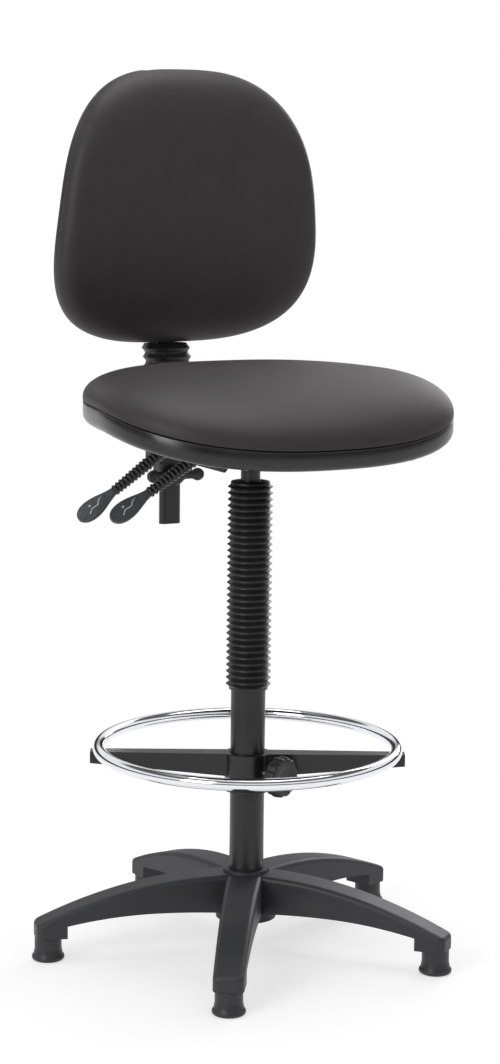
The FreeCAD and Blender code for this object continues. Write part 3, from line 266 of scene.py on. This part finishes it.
# ------------------------------------------------------------------ materials
def crepe(tree, place):
    """Woven crepe upholstery: matt, faintly brown charcoal; its pebbled yarn is 0.9 mm, drawn at 1.6 mm."""
    yarn = node(tree, "ShaderNodeTexVoronoi", {"Scale": 1 / (1.6 * MM)}, {"Vector": place}).outputs["Distance"]
    fibre = noise(tree, place, 0.7, 2.0)
    nap = noise(tree, place, 55.0, 3.0, 0.55)
    shade = ramp(tree, nap, "#312c2f", "#373233", 0.3, 0.7)
    fleck = ramp(tree, fibre, "#e6e4e6", "#ffffff", 0.3, 0.7)
    mixed = node(tree, "ShaderNodeMix", {"data_type": "RGBA", "blend_type": "MULTIPLY", 0: 1.0},
                 {6: shade, 7: fleck}).outputs[2]
    bump = relief(tree, fibre, 0.05, relief(tree, yarn, 0.12))
    rough = span(tree, nap, 0.5, 0.6)
    settings = {"Sheen Weight": 0.12, "Sheen Roughness": 0.4, "Sheen Tint": srgb("#8d8580"),
                "Specular IOR Level": 0.4}
    return settings, {"Base Color": mixed, "Normal": bump, "Roughness": rough}


def polished_abs(tree, place):
    """Injection-moulded ABS, polished: deep black gloss with a faint ripple and finger haze."""
    ripple = noise(tree, place, 18.0, 1.0)
    haze = noise(tree, place, 40.0, 4.0, 0.6)
    shade = ramp(tree, haze, "#191919", "#1f1f20")
    rough = span(tree, haze, 0.2, 0.32)
    return {"IOR": 1.53}, {"Base Color": shade, "Roughness": rough, "Normal": relief(tree, ripple, 0.05)}


def textured_abs(tree, place):
    """Moulded ABS with a spark-eroded skin: soft black, a fine even grain of about 0.8 mm."""
    grain = noise(tree, place, 0.9, 2.0)
    haze = noise(tree, place, 60.0, 3.0)
    shade = ramp(tree, haze, "#202022", "#27272a")
    rough = span(tree, haze, 0.42, 0.52)
    return {"IOR": 1.5}, {"Base Color": shade, "Roughness": rough, "Normal": relief(tree, grain, 0.05)}


def glass_filled_nylon(tree, place):
    """Moulded glass-filled nylon: blue-black, satin, with a fine grain and cloudy flow marks."""
    grain = noise(tree, place, 1.1, 3.0, 0.6)
    flow = noise(tree, place, 45.0, 4.0, 0.55)
    shade = ramp(tree, flow, "#2a2b30", "#323338", 0.3, 0.7)
    rough = span(tree, flow, 0.44, 0.56)
    return {"IOR": 1.52}, {"Base Color": shade, "Roughness": rough, "Normal": relief(tree, grain, 0.07)}


def plain_nylon(tree, place):
    """Turned-looking moulded nylon of the glides: dark, smooth, slightly scuffed."""
    scuff = noise(tree, place, 6.0, 5.0, 0.65)
    shade = ramp(tree, scuff, "#28282d", "#303037")
    rough = span(tree, scuff, 0.34, 0.5)
    return {"IOR": 1.52}, {"Base Color": shade, "Roughness": rough, "Normal": relief(tree, scuff, 0.03)}


def powder_coat(tree, place):
    """Black powder-coated steel tube: an orange-peel skin with a soft shine."""
    peel = noise(tree, place, 2.4, 2.0)
    cloud = noise(tree, place, 70.0, 3.0)
    shade = ramp(tree, cloud, "#161617", "#1c1c1d")
    rough = span(tree, cloud, 0.3, 0.38)
    return {"IOR": 1.5}, {"Base Color": shade, "Roughness": rough, "Normal": relief(tree, peel, 0.04)}


def chrome_plate(tree, place):
    """Bright chrome plate on steel: a clean mirror with the slightest haze where shoes have rubbed."""
    rub = noise(tree, place, 30.0, 5.0, 0.6)
    rough = span(tree, rub, 0.03, 0.09)
    return {"Base Color": srgb("#e9eaee"), "Metallic": 1.0}, {"Roughness": rough}


def zinc_plate(tree, place):
    """Zinc-plated steel: pale grey with a fine satin grain."""
    grain = noise(tree, place, 1.5, 3.0)
    rough = span(tree, grain, 0.3, 0.45)
    return {"Base Color": srgb("#a9abae"), "Metallic": 1.0}, {"Roughness": rough}


def moulded_rubber(tree, place):
    """Soft black rubber with a slight bloom, and a shine on its folded edges."""
    bloom = noise(tree, place, 14.0, 4.0, 0.6)
    grain = noise(tree, place, 0.8, 2.0)
    shade = ramp(tree, bloom, "#18181a", "#212123")
    rough = span(tree, bloom, 0.34, 0.48)
    return {"IOR": 1.52}, {"Base Color": shade, "Roughness": rough, "Normal": relief(tree, grain, 0.03)}


def grey_nylon(tree, place):
    """Moulded grey nylon of the lever paddles: cool slate, satin, finely grained."""
    grain = noise(tree, place, 0.8, 2.0)
    cloud = noise(tree, place, 20.0, 3.0)
    shade = ramp(tree, cloud, "#454b4f", "#4e5458")
    rough = span(tree, cloud, 0.36, 0.46)
    return {"IOR": 1.5}, {"Base Color": shade, "Roughness": rough, "Normal": relief(tree, grain, 0.03)}


def pad_print(tree, place):
    """Pale pad-printed ink of the control signs: flat, slightly uneven."""
    wear = noise(tree, place, 1.2, 3.0)
    shade = ramp(tree, wear, "#b9c1c4", "#d9dee0")
    return {"Roughness": 0.55}, {"Base Color": shade}


def birch_ply(tree, place):
    """Birch plywood: pale veneer with long soft figure."""
    settings = {"Scale": 60.0, "Distortion": 3.0, "Detail": 3.0, "bands_direction": "X"}
    figure = node(tree, "ShaderNodeTexWave", settings, {"Vector": place}).outputs[0]
    shade = ramp(tree, figure, "#b98f5e", "#cfa877", 0.2, 0.8)
    return {"Roughness": 0.6}, {"Base Color": shade}


MATERIALS = {
    "upholstery": finish("woven_crepe", crepe),
    "pan_plastic": finish("polished_abs", polished_abs),
    "shell_plastic": finish("textured_abs", textured_abs),
    "guide_plastic": finish("textured_abs_trim", textured_abs),
    "knob_plastic": finish("textured_abs_knob", textured_abs),
    "base_nylon": finish("glass_filled_nylon", glass_filled_nylon),
    "glide_nylon": finish("plain_nylon", plain_nylon),
    "black_steel": finish("powder_coated_steel", powder_coat),
    "ring_casting": finish("powder_coated_casting", powder_coat),
    "bright_steel": finish("ground_steel", zinc_plate),
    "zinc_steel": finish("zinc_plated_steel", zinc_plate),
    "chrome_ring": finish("chrome_plate", chrome_plate),
    "bellows_rubber": finish("moulded_rubber", moulded_rubber),
    "grip_rubber": finish("moulded_rubber_grip", moulded_rubber),
    "paddle_plastic": finish("grey_nylon", grey_nylon),
    "plywood": finish("birch_plywood", birch_ply),
    "sign_ink": finish("pad_print_ink", pad_print),
}


def dress(piece, slot, body, replaced=(), ink=None):
    """Give a new piece its material, its body and the CAD node that it stands for."""
    piece.data.materials.append(MATERIALS[ink or slot])
    if body:
        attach(piece, body)
    if replaced:
        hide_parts(*replaced)
    return piece


def dress_frame():
    """Every CAD node that stays takes the finish of its own material slot."""
    slots = {part["node"]: part["material_slot"] for part in frame["record"]["subparts"]}
    for name, piece in frame["nodes"].items():
        piece.data.materials.clear()
        piece.data.materials.append(MATERIALS[slots[name]])


# ------------------------------------------------------------------ seat
def seat_seam(y):
    """Height of the seam over the floor: level at the rear, falling in a waterfall towards the front."""
    ahead = np.maximum((SEAT_CENTRE_Y - y) / (SEAT_LENGTH / 2), 0)
    return SEAM_Z - WATERFALL * ahead ** WATERFALL_POWER


def seat_grid(insets, heights, columns=160):
    """Grid over the seat's plan: each row lies an inset inside the outline, at a height over the seam.

    Every inset is in millimetres; an inset past the middle stops at the middle.
    """
    across, ahead = egg(outline_angles(columns), SEAT_WIDTH, SEAT_LENGTH, SEAT_TAPER,
                        SEAT_POWER_FRONT, SEAT_POWER_REAR)
    reach = np.hypot(across, ahead)
    scale = 1 - np.minimum(np.asarray(insets)[:, None] / reach[None, :], 1.0)
    x = across * scale
    y = SEAT_CENTRE_Y - ahead * scale
    return np.stack([x, y, seat_seam(y) + np.asarray(heights)[:, None]], -1), reach, scale


def seat_cushion():
    """Crowned pad: its height is the crown times (1 - r^5)^(1/2.2), r running from middle to rim.

    Round the rim it stands a little proud of the pan, then tucks under and into it.
    """
    columns = 160
    share = np.sin(np.linspace(0, 1, 46) * math.pi / 2)
    across, ahead = egg(outline_angles(columns), SEAT_WIDTH, SEAT_LENGTH, SEAT_TAPER,
                        SEAT_POWER_FRONT, SEAT_POWER_REAR)
    reach = np.hypot(across, ahead)
    crown = SEAT_CROWN * (1 - share ** 5) ** (1 / 2.2)
    tuck = [(0.0, 1.6), (2.4, 0.5), (6.0, 0.6), (17.0, 0.0), (19.0, -12.0)]
    rows = [(share[i] + 0 * reach, crown[i] + 1.6) for i in range(len(share) - 1)]
    swell = 1.6 * np.sin(np.clip(crown / SEAT_CROWN, 0, 1) * math.pi)
    rows = [(s + swell[i] / reach, h) for i, (s, h) in enumerate(rows)]
    rows += [(1 - inset / reach, height) for inset, height in tuck]
    rows.append((0 * reach, -12.0))
    grid = []
    for scale, height in rows:
        x, y = across * scale, SEAT_CENTRE_Y - ahead * scale
        grid.append(np.stack([x, y, seat_seam(y) + height], -1))
    piece = pole_surface("seat_cushion_cover", np.array(grid), 60.0)
    return dress(piece, "upholstery", "seat", ["seat_cushion"])


def arc(centre, radius, start, end, steps=6):
    """Points of an arc given by its centre, radius and two angles in degrees."""
    angle = np.radians(np.linspace(start, end, steps))
    return [(centre[0] + radius * math.cos(a), centre[1] + radius * math.sin(a)) for a in angle]


def seat_pan():
    """Moulded tray: profile of inset and height, from under the middle, up the wall, over the rim and back."""
    low = -PAN_DEPTH
    outside = [(240.0, low), (150.0, low), (60.0, low)]
    outside += arc((PAN_CORNER, low + PAN_CORNER), -PAN_CORNER, 90, 0, 8)
    rim = [(0.0, -1.6), (0.5, -0.5), (1.6, 0.0), (PAN_WALL - 1, -0.2), (PAN_WALL, -1.4)]
    inner = PAN_CORNER - PAN_WALL
    inside = arc((PAN_CORNER, low + PAN_CORNER), -inner, 0, 90, 6)
    inside += [(60.0, low + PAN_WALL), (150.0, low + PAN_WALL), (240.0, low + PAN_WALL)]
    profile = np.array([(max(i, 0.0), h) for i, h in outside + rim + inside])
    grid, _, _ = seat_grid(profile[:, 0], profile[:, 1])
    grid[0] = grid[0].mean(0)
    grid[-1] = grid[-1].mean(0)
    piece = pole_surface("seat_pan_tray", grid, 50.0)
    return dress(piece, "pan_plastic", "seat", ["seat_pan"])


# ------------------------------------------------------------------ back
def back_points(across, up, forward):
    """Points of the back pad: sides wrap forward and ends bow rearward, and the whole leans by its rake."""
    seam = BACK_WRAP * (2 * across / BACK_WIDTH) ** 2 - BACK_BOW * (2 * up / BACK_HEIGHT) ** 2
    depth = seam + forward
    y = BACK_Y - up * math.sin(BACK_RAKE) - depth * math.cos(BACK_RAKE)
    z = BACK_Z + up * math.cos(BACK_RAKE) - depth * math.sin(BACK_RAKE)
    return np.stack([across, y, z], -1)


def back_grid(rows, columns=150):
    """Grid over the back's outline from rows of (share of the way out, millimetres inward, depth forward)."""
    across, up = egg(outline_angles(columns), BACK_WIDTH, BACK_HEIGHT, BACK_TAPER,
                     BACK_POWER_TOP, BACK_POWER_FOOT)
    reach = np.hypot(across, up)
    grid = []
    for share, inset, forward in rows:
        scale = np.maximum(share - inset / reach, 0)
        grid.append(back_points(across * scale, up * scale, forward))
    return np.array(grid)


def back_cushion():
    """Crowned pad: depth is the crown times (1 - r^7)^(1/2.2); the cover rolls round its edge to the shell."""
    share = np.sin(np.linspace(0, 1, 44) * math.pi / 2)
    depth = BACK_CROWN * (1 - share ** 7) ** (1 / 2.2)
    rows = [(s, 0.0, d + 1.0) for s, d in zip(share[:-1], depth[:-1])]
    rows += [(1.0, 0.0, 1.2), (1.0, 1.6, 0.4), (1.0, 5.0, 0.5), (1.0, 9.0, 0.6), (0.0, 0.0, 0.6)]
    piece = pole_surface("back_cushion_cover", back_grid(rows), 60.0)
    return dress(piece, "upholstery", "back", ["back_cushion"])


# ------------------------------------------------------------------ bellows
def fin_profile(bottom, top, count, valley, tip, sharpness, samples=12):
    """Radius against height for stacked fins: a triangle wave raised to a power, so that tips are thin."""
    height = np.linspace(bottom, top, count * samples + 1)
    phase = (height - bottom) / (top - bottom) * count % 1.0
    wave = 1 - np.abs(2 * phase - 1)
    return valley + (tip - valley) * wave ** sharpness, height


def column_bellows():
    """Rubber sleeve of thin fins: its foot grips the tube, and its top closes on the gas cylinder."""
    low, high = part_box("column_bellows")
    bottom, top = low.z / MM, high.z / MM
    collar = 3.0
    radius, height = fin_profile(bottom + collar, top - collar, FIN_COUNT, VALLEY_R, FIN_R, 1.7)
    outer = [(VALLEY_R - 0.6, bottom), (VALLEY_R, bottom + 0.8)] + list(zip(radius, height))
    outer += [(VALLEY_R, top - 0.8), (VALLEY_R - 0.8, top)]
    inner_r = VALLEY_R - 1.6
    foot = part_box("column_tube")[1].z / MM + 0.4
    inner = [(CYLINDER_R + 0.4, top), (CYLINDER_R + 0.4, top - collar), (inner_r, top - collar - 0.5),
             (inner_r, foot), (TUBE_R + 0.05, foot), (TUBE_R + 0.05, bottom)]
    piece = ring_surface("column_bellows_sleeve", turned(outer + inner, 72), 75.0)
    dress(piece, "bellows_rubber", "base", ["column_bellows"])
    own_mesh(piece)
    return piece


def flat_oval(columns, half_w, half_t):
    """Level outline of a flat oval, a superellipse of power 2.6."""
    angle = outline_angles(columns)
    return half_w * signed_power(np.cos(angle), 2 / 2.6), half_t * signed_power(np.sin(angle), 2 / 2.6)


def stem_bellows():
    """Finned cover of the stem: level ovals whose size follows the fins and whose middle drifts rearward."""
    low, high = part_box("stem_bellows")
    bottom, top = low.z / MM, high.z / MM
    out, height = fin_profile(bottom, top, COVER_FINS, -4.2, 0.0, 1.4, 14)
    outer = list(zip(out, height))
    inner = [(-6.4, top), (-6.4, bottom)]
    rows = []
    for offset, z in outer + inner:
        share = (z - bottom) / (top - bottom)
        x, y = flat_oval(88, COVER_HALF_W + offset, COVER_HALF_T + offset)
        rows.append(np.stack([x, y + STEM_Y + COVER_SHIFT * share ** 2, z + 0 * x], -1))
    piece = ring_surface("stem_bellows_cover", np.array(rows), 75.0)
    dress(piece, "bellows_rubber", None, ["stem_bellows"])
    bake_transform(piece)
    return piece


# ------------------------------------------------------------------ glides and foot ring
def floor_glides():
    """Five feet: a flat sole, a rounded rim, a waist that flares in a curve, and a straight stem."""
    profile = [(0, 0.0), (GLIDE_R - 3.2, 0.0), (GLIDE_R, 2.6), (GLIDE_R, 6.8), (GLIDE_R - 2.4, 9.6),
               (GLIDE_STEM_R + 0.9, 13.2), (GLIDE_STEM_R, 17.5), (GLIDE_STEM_R, GLIDE_TOP - 1.2),
               (GLIDE_STEM_R - 1.0, GLIDE_TOP), (0, GLIDE_TOP)]
    for number in range(1, 6):
        name = "floor_glide_%d" % number
        low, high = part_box(name)
        centre = np.array([(low.x + high.x) / 2, (low.y + high.y) / 2, 0]) / MM
        grid = turned(rounded(profile, 2.2), 56) + centre
        dress(pole_surface(name + "_foot", grid, 35.0), "glide_nylon", "base", [name])


def foot_ring():
    """Chromed tube ring: a circle of tube radius carried round the ring's circle."""
    round_tube = np.linspace(0, TAU, 40, endpoint=False)
    profile = np.stack([RING_R + RING_TUBE_R * np.cos(round_tube), RING_Z + RING_TUBE_R * np.sin(round_tube)], -1)
    piece = ring_surface("foot_ring_chrome", turned(profile, 288))
    return dress(piece, "chrome_ring", "foot_ring", ["foot_ring_tube"])


def along(direction, grid, origin):
    """Turn a grid drawn about the Z axis so that its axis lies along a direction, from an origin."""
    axis = np.asarray(direction, float)
    axis = axis / np.linalg.norm(axis)
    helper = np.array([0, 0, 1.0]) if abs(axis[2]) < 0.9 else np.array([1.0, 0, 0])
    side = np.cross(helper, axis)
    side = side / np.linalg.norm(side)
    other = np.cross(axis, side)
    return grid[..., :1] * side + grid[..., 1:2] * other + grid[..., 2:] * axis + np.asarray(origin)


def ring_knob():
    """Hand knob with twelve shallow scallops and a dished face."""
    angle = math.radians(-70)
    profile = rounded([(0, -6), (9, -6), (10, 0), (24, 0.4), (29.5, 3), (30, 8), (29, 17), (26, 20),
                       (18, 19.6), (12, 17.5), (0, 17)], 2.4)
    grid = turned(profile, 144)
    turn = np.arctan2(grid[..., 1], grid[..., 0])
    radius = np.hypot(grid[..., 0], grid[..., 1])
    bite = 1.9 * np.abs(np.cos(6 * turn)) ** 5 * np.clip((radius - 20) / 8, 0, 1)
    scale = 1 - bite / np.maximum(radius, 1)
    grid[..., 0] *= scale
    grid[..., 1] *= scale
    low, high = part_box("ring_knob_stud")
    height = (low.z + high.z) / 2 / MM
    face = 33.0 + 22.0
    grid = along((math.cos(angle), math.sin(angle), 0), grid,
                 (face * math.cos(angle), face * math.sin(angle), height))
    return dress(pole_surface("ring_knob_grip", grid, 35.0), "knob_plastic", "ring_knob", ["ring_knob"])


def clamp_knob():
    """Two-winged knob: ovals along X whose height swells at the hub and at both ends."""
    low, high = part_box("clamp_knob")
    half = (high.x - low.x) / 2 / MM
    height = (low.z + high.z) / 2 / MM
    middle = (low.y / MM * 0.45 + high.y / MM * 0.55)
    x = -half * np.cos(np.linspace(0, math.pi, 61))
    near_end = np.abs(x) - (half - 10)
    lobe = np.sqrt(np.clip(100 - np.clip(near_end, -10, 10) ** 2, 0, None))
    waist = 6.5 + 0 * x
    hub = 15 * np.exp(-(x / 13) ** 4)
    tall = np.maximum(np.maximum(np.where(np.abs(x) < half - 10, waist, 0), hub), lobe)
    tall = np.convolve(np.pad(tall, 2, mode="edge"), [0.1, 0.2, 0.4, 0.2, 0.1], "valid")
    tall[0] = tall[-1] = 0
    thick = np.minimum(5.5, tall) + 3 * np.exp(-(x / 13) ** 4)
    thick[0] = thick[-1] = 0
    angle = outline_angles(40)
    rows = []
    for place, a, b in zip(x, tall, thick):
        y = middle + b * signed_power(np.cos(angle), 0.8)
        rows.append(np.stack([place + 0 * angle, y, height + a * signed_power(np.sin(angle), 0.8)], -1))
    return dress(pole_surface("clamp_knob_wings", np.array(rows), 50.0), "knob_plastic", "clamp_knob", ["clamp_knob"])


# ------------------------------------------------------------------ levers
def lever_points(lever, far, side, up, twist=0.0):
    """Place lever coordinates: distance from the ball, sideways, and off the face, which a twist turns forwards."""
    y, z, slope = LEVERS[lever]
    slope = math.radians(slope)
    way = np.array([-math.cos(slope), 0, -math.sin(slope)])
    rise = np.array([-math.sin(slope), 0, math.cos(slope)])
    back = np.array([0, 1.0, 0])
    across = math.cos(twist) * back + math.sin(twist) * rise
    face = math.cos(twist) * rise - math.sin(twist) * back
    ball = np.array([LEVER_BALL_X, y, z])
    return ball + far[..., None] * way + side[..., None] * across + up[..., None] * face


def lever_sleeve(lever):
    """Ribbed grip: rings whose radius falls along the lever, with a rounded rib on each pitch."""
    far = np.linspace(SLEEVE_START, SLEEVE_END, SLEEVE_RIBS * 12 + 1)
    share = (far - SLEEVE_START) / (SLEEVE_END - SLEEVE_START)
    crest = np.clip(np.sin(share * SLEEVE_RIBS * TAU - math.pi / 2) * 1.5, -1, 1)
    radius = SLEEVE_ROOT_R + (SLEEVE_TIP_R - SLEEVE_ROOT_R) * share - 0.9 + 0.9 * crest
    far = np.concatenate([[SLEEVE_START], far, [SLEEVE_END]])
    radius = np.concatenate([[4.05], radius, [4.05]])
    angle = np.linspace(0, TAU, 40, endpoint=False)
    side = radius[:, None] * np.cos(angle)
    up = radius[:, None] * np.sin(angle)
    piece = ring_surface(lever + "_grip", lever_points(lever, far[:, None] + 0 * side, side, up), 60.0)
    dress(piece, "grip_rubber", lever, [lever + "_sleeve"])


def paddle_half(share):
    """Half width of the paddle: a neck that widens in an S to its leaf and closes in a round end."""
    swell = 6.0 + 9.4 * np.sin(np.clip(share / 0.66, 0, 1) * math.pi / 2) ** 1.6
    close = np.sqrt(np.clip(1 - np.clip((share - 0.66) / 0.34, 0, 1) ** 2.3, 0, None))
    return swell * close


def paddle_face(share):
    """Height of the paddle's top face over the lever's line, thinning towards its end."""
    return 4.6 - 1.4 * share


def lever_paddle(lever):
    """Leaf-shaped grip: rounded-box sections along the lever, with a shallow dish in the top face."""
    start = SLEEVE_END - 1.0
    share = (1 - np.cos(np.linspace(0, math.pi, 64))) / 2
    angle = outline_angles(64)
    rows = []
    for s in share:
        half = max(paddle_half(np.array(s)), 0.0)
        thick = min(paddle_face(s), half)
        edge = min(1.0, s * 22 + 0.55)
        side = half * edge * signed_power(np.cos(angle), 0.62)
        up = thick * edge * signed_power(np.sin(angle), 0.62)
        inside = np.clip(1 - np.abs(side) / max(half * 0.84, 0.1), 0, 1)
        dish = 0.8 * np.minimum(inside * 5, 1) * np.clip((s - 0.1) * 8, 0, 1) * np.clip((0.95 - s) * 10, 0, 1)
        up = np.where(up > thick * 0.75, up - dish, up)
        far = start + (PADDLE_END - start) * s + 0 * side
        rows.append(lever_points(lever, far, side, up, PADDLE_TWIST))
    piece = pole_surface(lever + "_leaf", np.array(rows), 35.0)
    dress(piece, "paddle_plastic", lever, [lever + "_paddle"])


def ribbon(lever, path, width, height, lift):
    """Flat printed stroke: a strip of constant width whose corners are mitred, with a slight thickness."""
    path = np.asarray(path, float)
    step = np.diff(path, axis=0)
    step /= np.linalg.norm(step, axis=1)[:, None]
    way = np.vstack([step[:1], step[1:] + step[:-1], step[-1:]])
    way /= np.linalg.norm(way, axis=1)[:, None]
    normal = np.stack([-way[:, 1], way[:, 0]], -1)
    left, right = path + normal * width / 2, path - normal * width / 2
    rows = []
    for a, b in zip(left, right):
        far = np.array([a[0], b[0], b[0], a[0]])
        side = np.array([a[1], b[1], b[1], a[1]])
        up = lift + np.array([height, height, 0, 0])
        rows.append(lever_points(lever, far, side, up, PADDLE_TWIST))
    return np.array([rows[0]] + rows + [rows[-1]])


def paddle_signs(lever):
    """Control sign on each paddle: a seat's side view as a stepped line, with a dot beside it."""
    face = paddle_face(0.6) - 0.8
    stroke = [(127, 5.0), (134, 3.5), (139, -1.5), (150, -0.5), (157, -5.5)]
    sign = pole_surface(lever + "_sign", ribbon(lever, stroke, 1.5, 0.35, face - 0.05), 30.0)
    dress(sign, "paddle_plastic", lever, ink="sign_ink")
    angle = np.linspace(0, TAU, 20, endpoint=False)
    rows = []
    for radius, rise in ((0, 0), (1.7, 0), (1.7, 0.35), (0, 0.35)):
        up = face - 0.05 + rise + 0 * angle
        far, side = 149.5 + radius * np.cos(angle), 5.2 + radius * np.sin(angle)
        rows.append(lever_points(lever, far, side, up, PADDLE_TWIST))
    dot = pole_surface(lever + "_dot", np.array(rows), 30.0)
    dress(dot, "paddle_plastic", lever, ink="sign_ink")


# ------------------------------------------------------------------ studio
def stage_plane(name, size, place, rotation=(0, 0, 0)):
    """Flat square that isn't part of the chair."""
    half = size / 2
    mesh = bpy.data.meshes.new(name)
    mesh.from_pydata([(-half, -half, 0), (half, -half, 0), (half, half, 0), (-half, half, 0)], [], [(0, 1, 2, 3)])
    plane = bpy.data.objects.new(name, mesh)
    plane.location = place
    plane.rotation_euler = rotation
    bpy.context.scene.collection.objects.link(plane)
    return plane


def floor():
    """White studio floor that takes a faint shadow near the chair and melts into the white far away."""
    plane = stage_plane("studio_floor", 60.0, (0, 0, -0.0002))
    material = bpy.data.materials.new("matt_white_floor")
    material.use_nodes = True
    tree = material.node_tree
    tree.nodes.clear()
    place = node(tree, "ShaderNodeTexCoord").outputs["Object"]
    distance = node(tree, "ShaderNodeVectorMath", {"operation": "LENGTH"}, {0: place}).outputs["Value"]
    settings = {"interpolation_type": "SMOOTHSTEP", "From Min": 0.55, "From Max": 1.5}
    far = node(tree, "ShaderNodeMapRange", settings, {"Value": distance}).outputs[0]
    seen = seen_directly(tree)
    own = span(tree, seen, 0.0, 0.60)
    paint = node(tree, "ShaderNodeBsdfDiffuse", {"Color": (0.5, 0.5, 0.495, 1)})
    glow = node(tree, "ShaderNodeEmission", {"Color": (1, 1, 1, 1)}, {"Strength": own})
    near = node(tree, "ShaderNodeAddShader", {}, {0: paint.outputs[0], 1: glow.outputs[0]})
    white = node(tree, "ShaderNodeEmission", {"Color": (1, 1, 1, 1)}, {"Strength": span(tree, seen, 0.4, 1.0)})
    both = node(tree, "ShaderNodeMixShader", {}, {0: far, 1: near.outputs[0], 2: white.outputs[0]})
    node(tree, "ShaderNodeOutputMaterial", {}, {"Surface": both.outputs[0]})
    plane.data.materials.append(material)


def seen_directly(tree):
    """1 for rays that the camera, a mirror or a clear material sees, 0 for those that only carry light."""
    path = node(tree, "ShaderNodeLightPath").outputs
    first = node(tree, "ShaderNodeMath", {"operation": "MAXIMUM"},
                 {0: path["Is Camera Ray"], 1: path["Is Glossy Ray"]}).outputs[0]
    return node(tree, "ShaderNodeMath", {"operation": "MAXIMUM"},
                {0: first, 1: path["Is Transmission Ray"]}).outputs[0]


def world():
    """White surroundings, with dark flags low in the room that only mirrors see."""
    made = bpy.data.worlds.new("studio_white")
    bpy.context.scene.world = made
    made.use_nodes = True
    tree = made.node_tree
    tree.nodes.clear()
    strength = span(tree, seen_directly(tree), 0.35, 1.0)
    glossy = node(tree, "ShaderNodeLightPath").outputs["Is Glossy Ray"]
    way = node(tree, "ShaderNodeTexCoord").outputs["Generated"]
    height = node(tree, "ShaderNodeSeparateXYZ", {}, {"Vector": way}).outputs["Z"]
    walls = node(tree, "ShaderNodeValToRGB", {}, {"Fac": span(tree, height, 0.5, 1.0)})
    stops = walls.color_ramp.elements
    stops[0].position, stops[0].color = 0.50, (0.9, 0.9, 0.9, 1)
    stops[1].position, stops[1].color = 1.0, (0.8, 0.8, 0.8, 1)
    for position, grey in ((0.515, 0.03), (0.60, 0.04), (0.64, 0.95), (0.78, 0.95), (0.82, 0.12), (0.9, 0.12)):
        stops.new(position).color = (grey, grey, grey, 1)
    colour = node(tree, "ShaderNodeMix", {"data_type": "RGBA", 6: (1, 1, 1, 1)},
                  {0: glossy, 7: walls.outputs[0]}).outputs[2]
    sky = node(tree, "ShaderNodeBackground", {}, {"Strength": strength, "Color": colour})
    node(tree, "ShaderNodeOutputWorld", {}, {"Surface": sky.outputs[0]})


def softbox(name, place, target, size, power):
    """Square soft lamp that looks at a point."""
    data = bpy.data.lights.new(name, "AREA")
    data.shape = "RECTANGLE"
    data.size, data.size_y = size
    data.energy = power
    lamp = bpy.data.objects.new(name, data)
    lamp.location = place
    lamp.rotation_euler = (Vector(target) - Vector(place)).to_track_quat("-Z", "Y").to_euler()
    bpy.context.scene.collection.objects.link(lamp)
    return lamp


def dark_card(name, place, target, size):
    """Dark panel that only mirrors and gloss see, as the unlit part of a studio."""
    card = stage_plane(name, 1.0, place)
    card.rotation_euler = (Vector(target) - Vector(place)).to_track_quat("Z", "Y").to_euler()
    card.scale = (size[0], size[1], 1)
    card.visible_camera = False
    card.visible_diffuse = False
    card.visible_shadow = False
    card.visible_transmission = False
    material = bpy.data.materials.new(name + "_cloth")
    material.use_nodes = True
    material.node_tree.nodes["Principled BSDF"].inputs["Base Color"].default_value = srgb("#141416")
    card.data.materials.append(material)


def camera():
    """View from the sitter's front right, a little above the seat, looking slightly down."""
    turn, pitch, roll = math.radians(28.0), 0.1572, 0.0113
    distance, height, focal = 3.588, 1.185, 2534.4
    forward = Vector((math.sin(turn) * math.cos(pitch), math.cos(turn) * math.cos(pitch), -math.sin(pitch)))
    right = forward.cross(Vector((0, 0, 1))).normalized()
    up = right.cross(forward)
    x_axis = right * math.cos(roll) + up * math.sin(roll)
    y_axis = up * math.cos(roll) - right * math.sin(roll)
    data = bpy.data.cameras.new("view")
    data.sensor_width = 36.0
    data.lens = focal / 1064 * 36.0
    eye = bpy.data.objects.new("view", data)
    matrix = eye.matrix_world.copy()
    for i, axis in enumerate((x_axis, y_axis, -forward)):
        matrix.col[i][:3] = axis
    matrix.col[3][:3] = (-distance * math.sin(turn), -distance * math.cos(turn), height)
    eye.matrix_world = matrix
    bpy.context.scene.collection.objects.link(eye)
    bpy.context.scene.camera = eye


def studio():
    bpy.context.scene.view_settings.view_transform = "Standard"
    world()
    floor()
    camera()
    softbox("overhead", (0.3, 0.2, 3.6), (0, 0, 0.6), (2.6, 2.6), 62)
    softbox("left_front", (-3.0, -1.4, 1.9), (0, 0, 0.9), (1.4, 2.0), 46)
    softbox("right_rear", (2.6, 1.9, 1.8), (0, 0, 0.9), (1.2, 2.0), 26)
    dark_card("dark_behind_view", (-2.6, -5.2, 1.2), (0, 0, 0.6), (6.0, 1.4))


# ------------------------------------------------------------------ make everything
dress_frame()
seat_cushion()
seat_pan()
back_cushion()
column_bellows()
stem_bellows()
floor_glides()
foot_ring()
ring_knob()
clamp_knob()
for lever_name in LEVERS:
    lever_sleeve(lever_name)
    lever_paddle(lever_name)
    paddle_signs(lever_name)
studio()
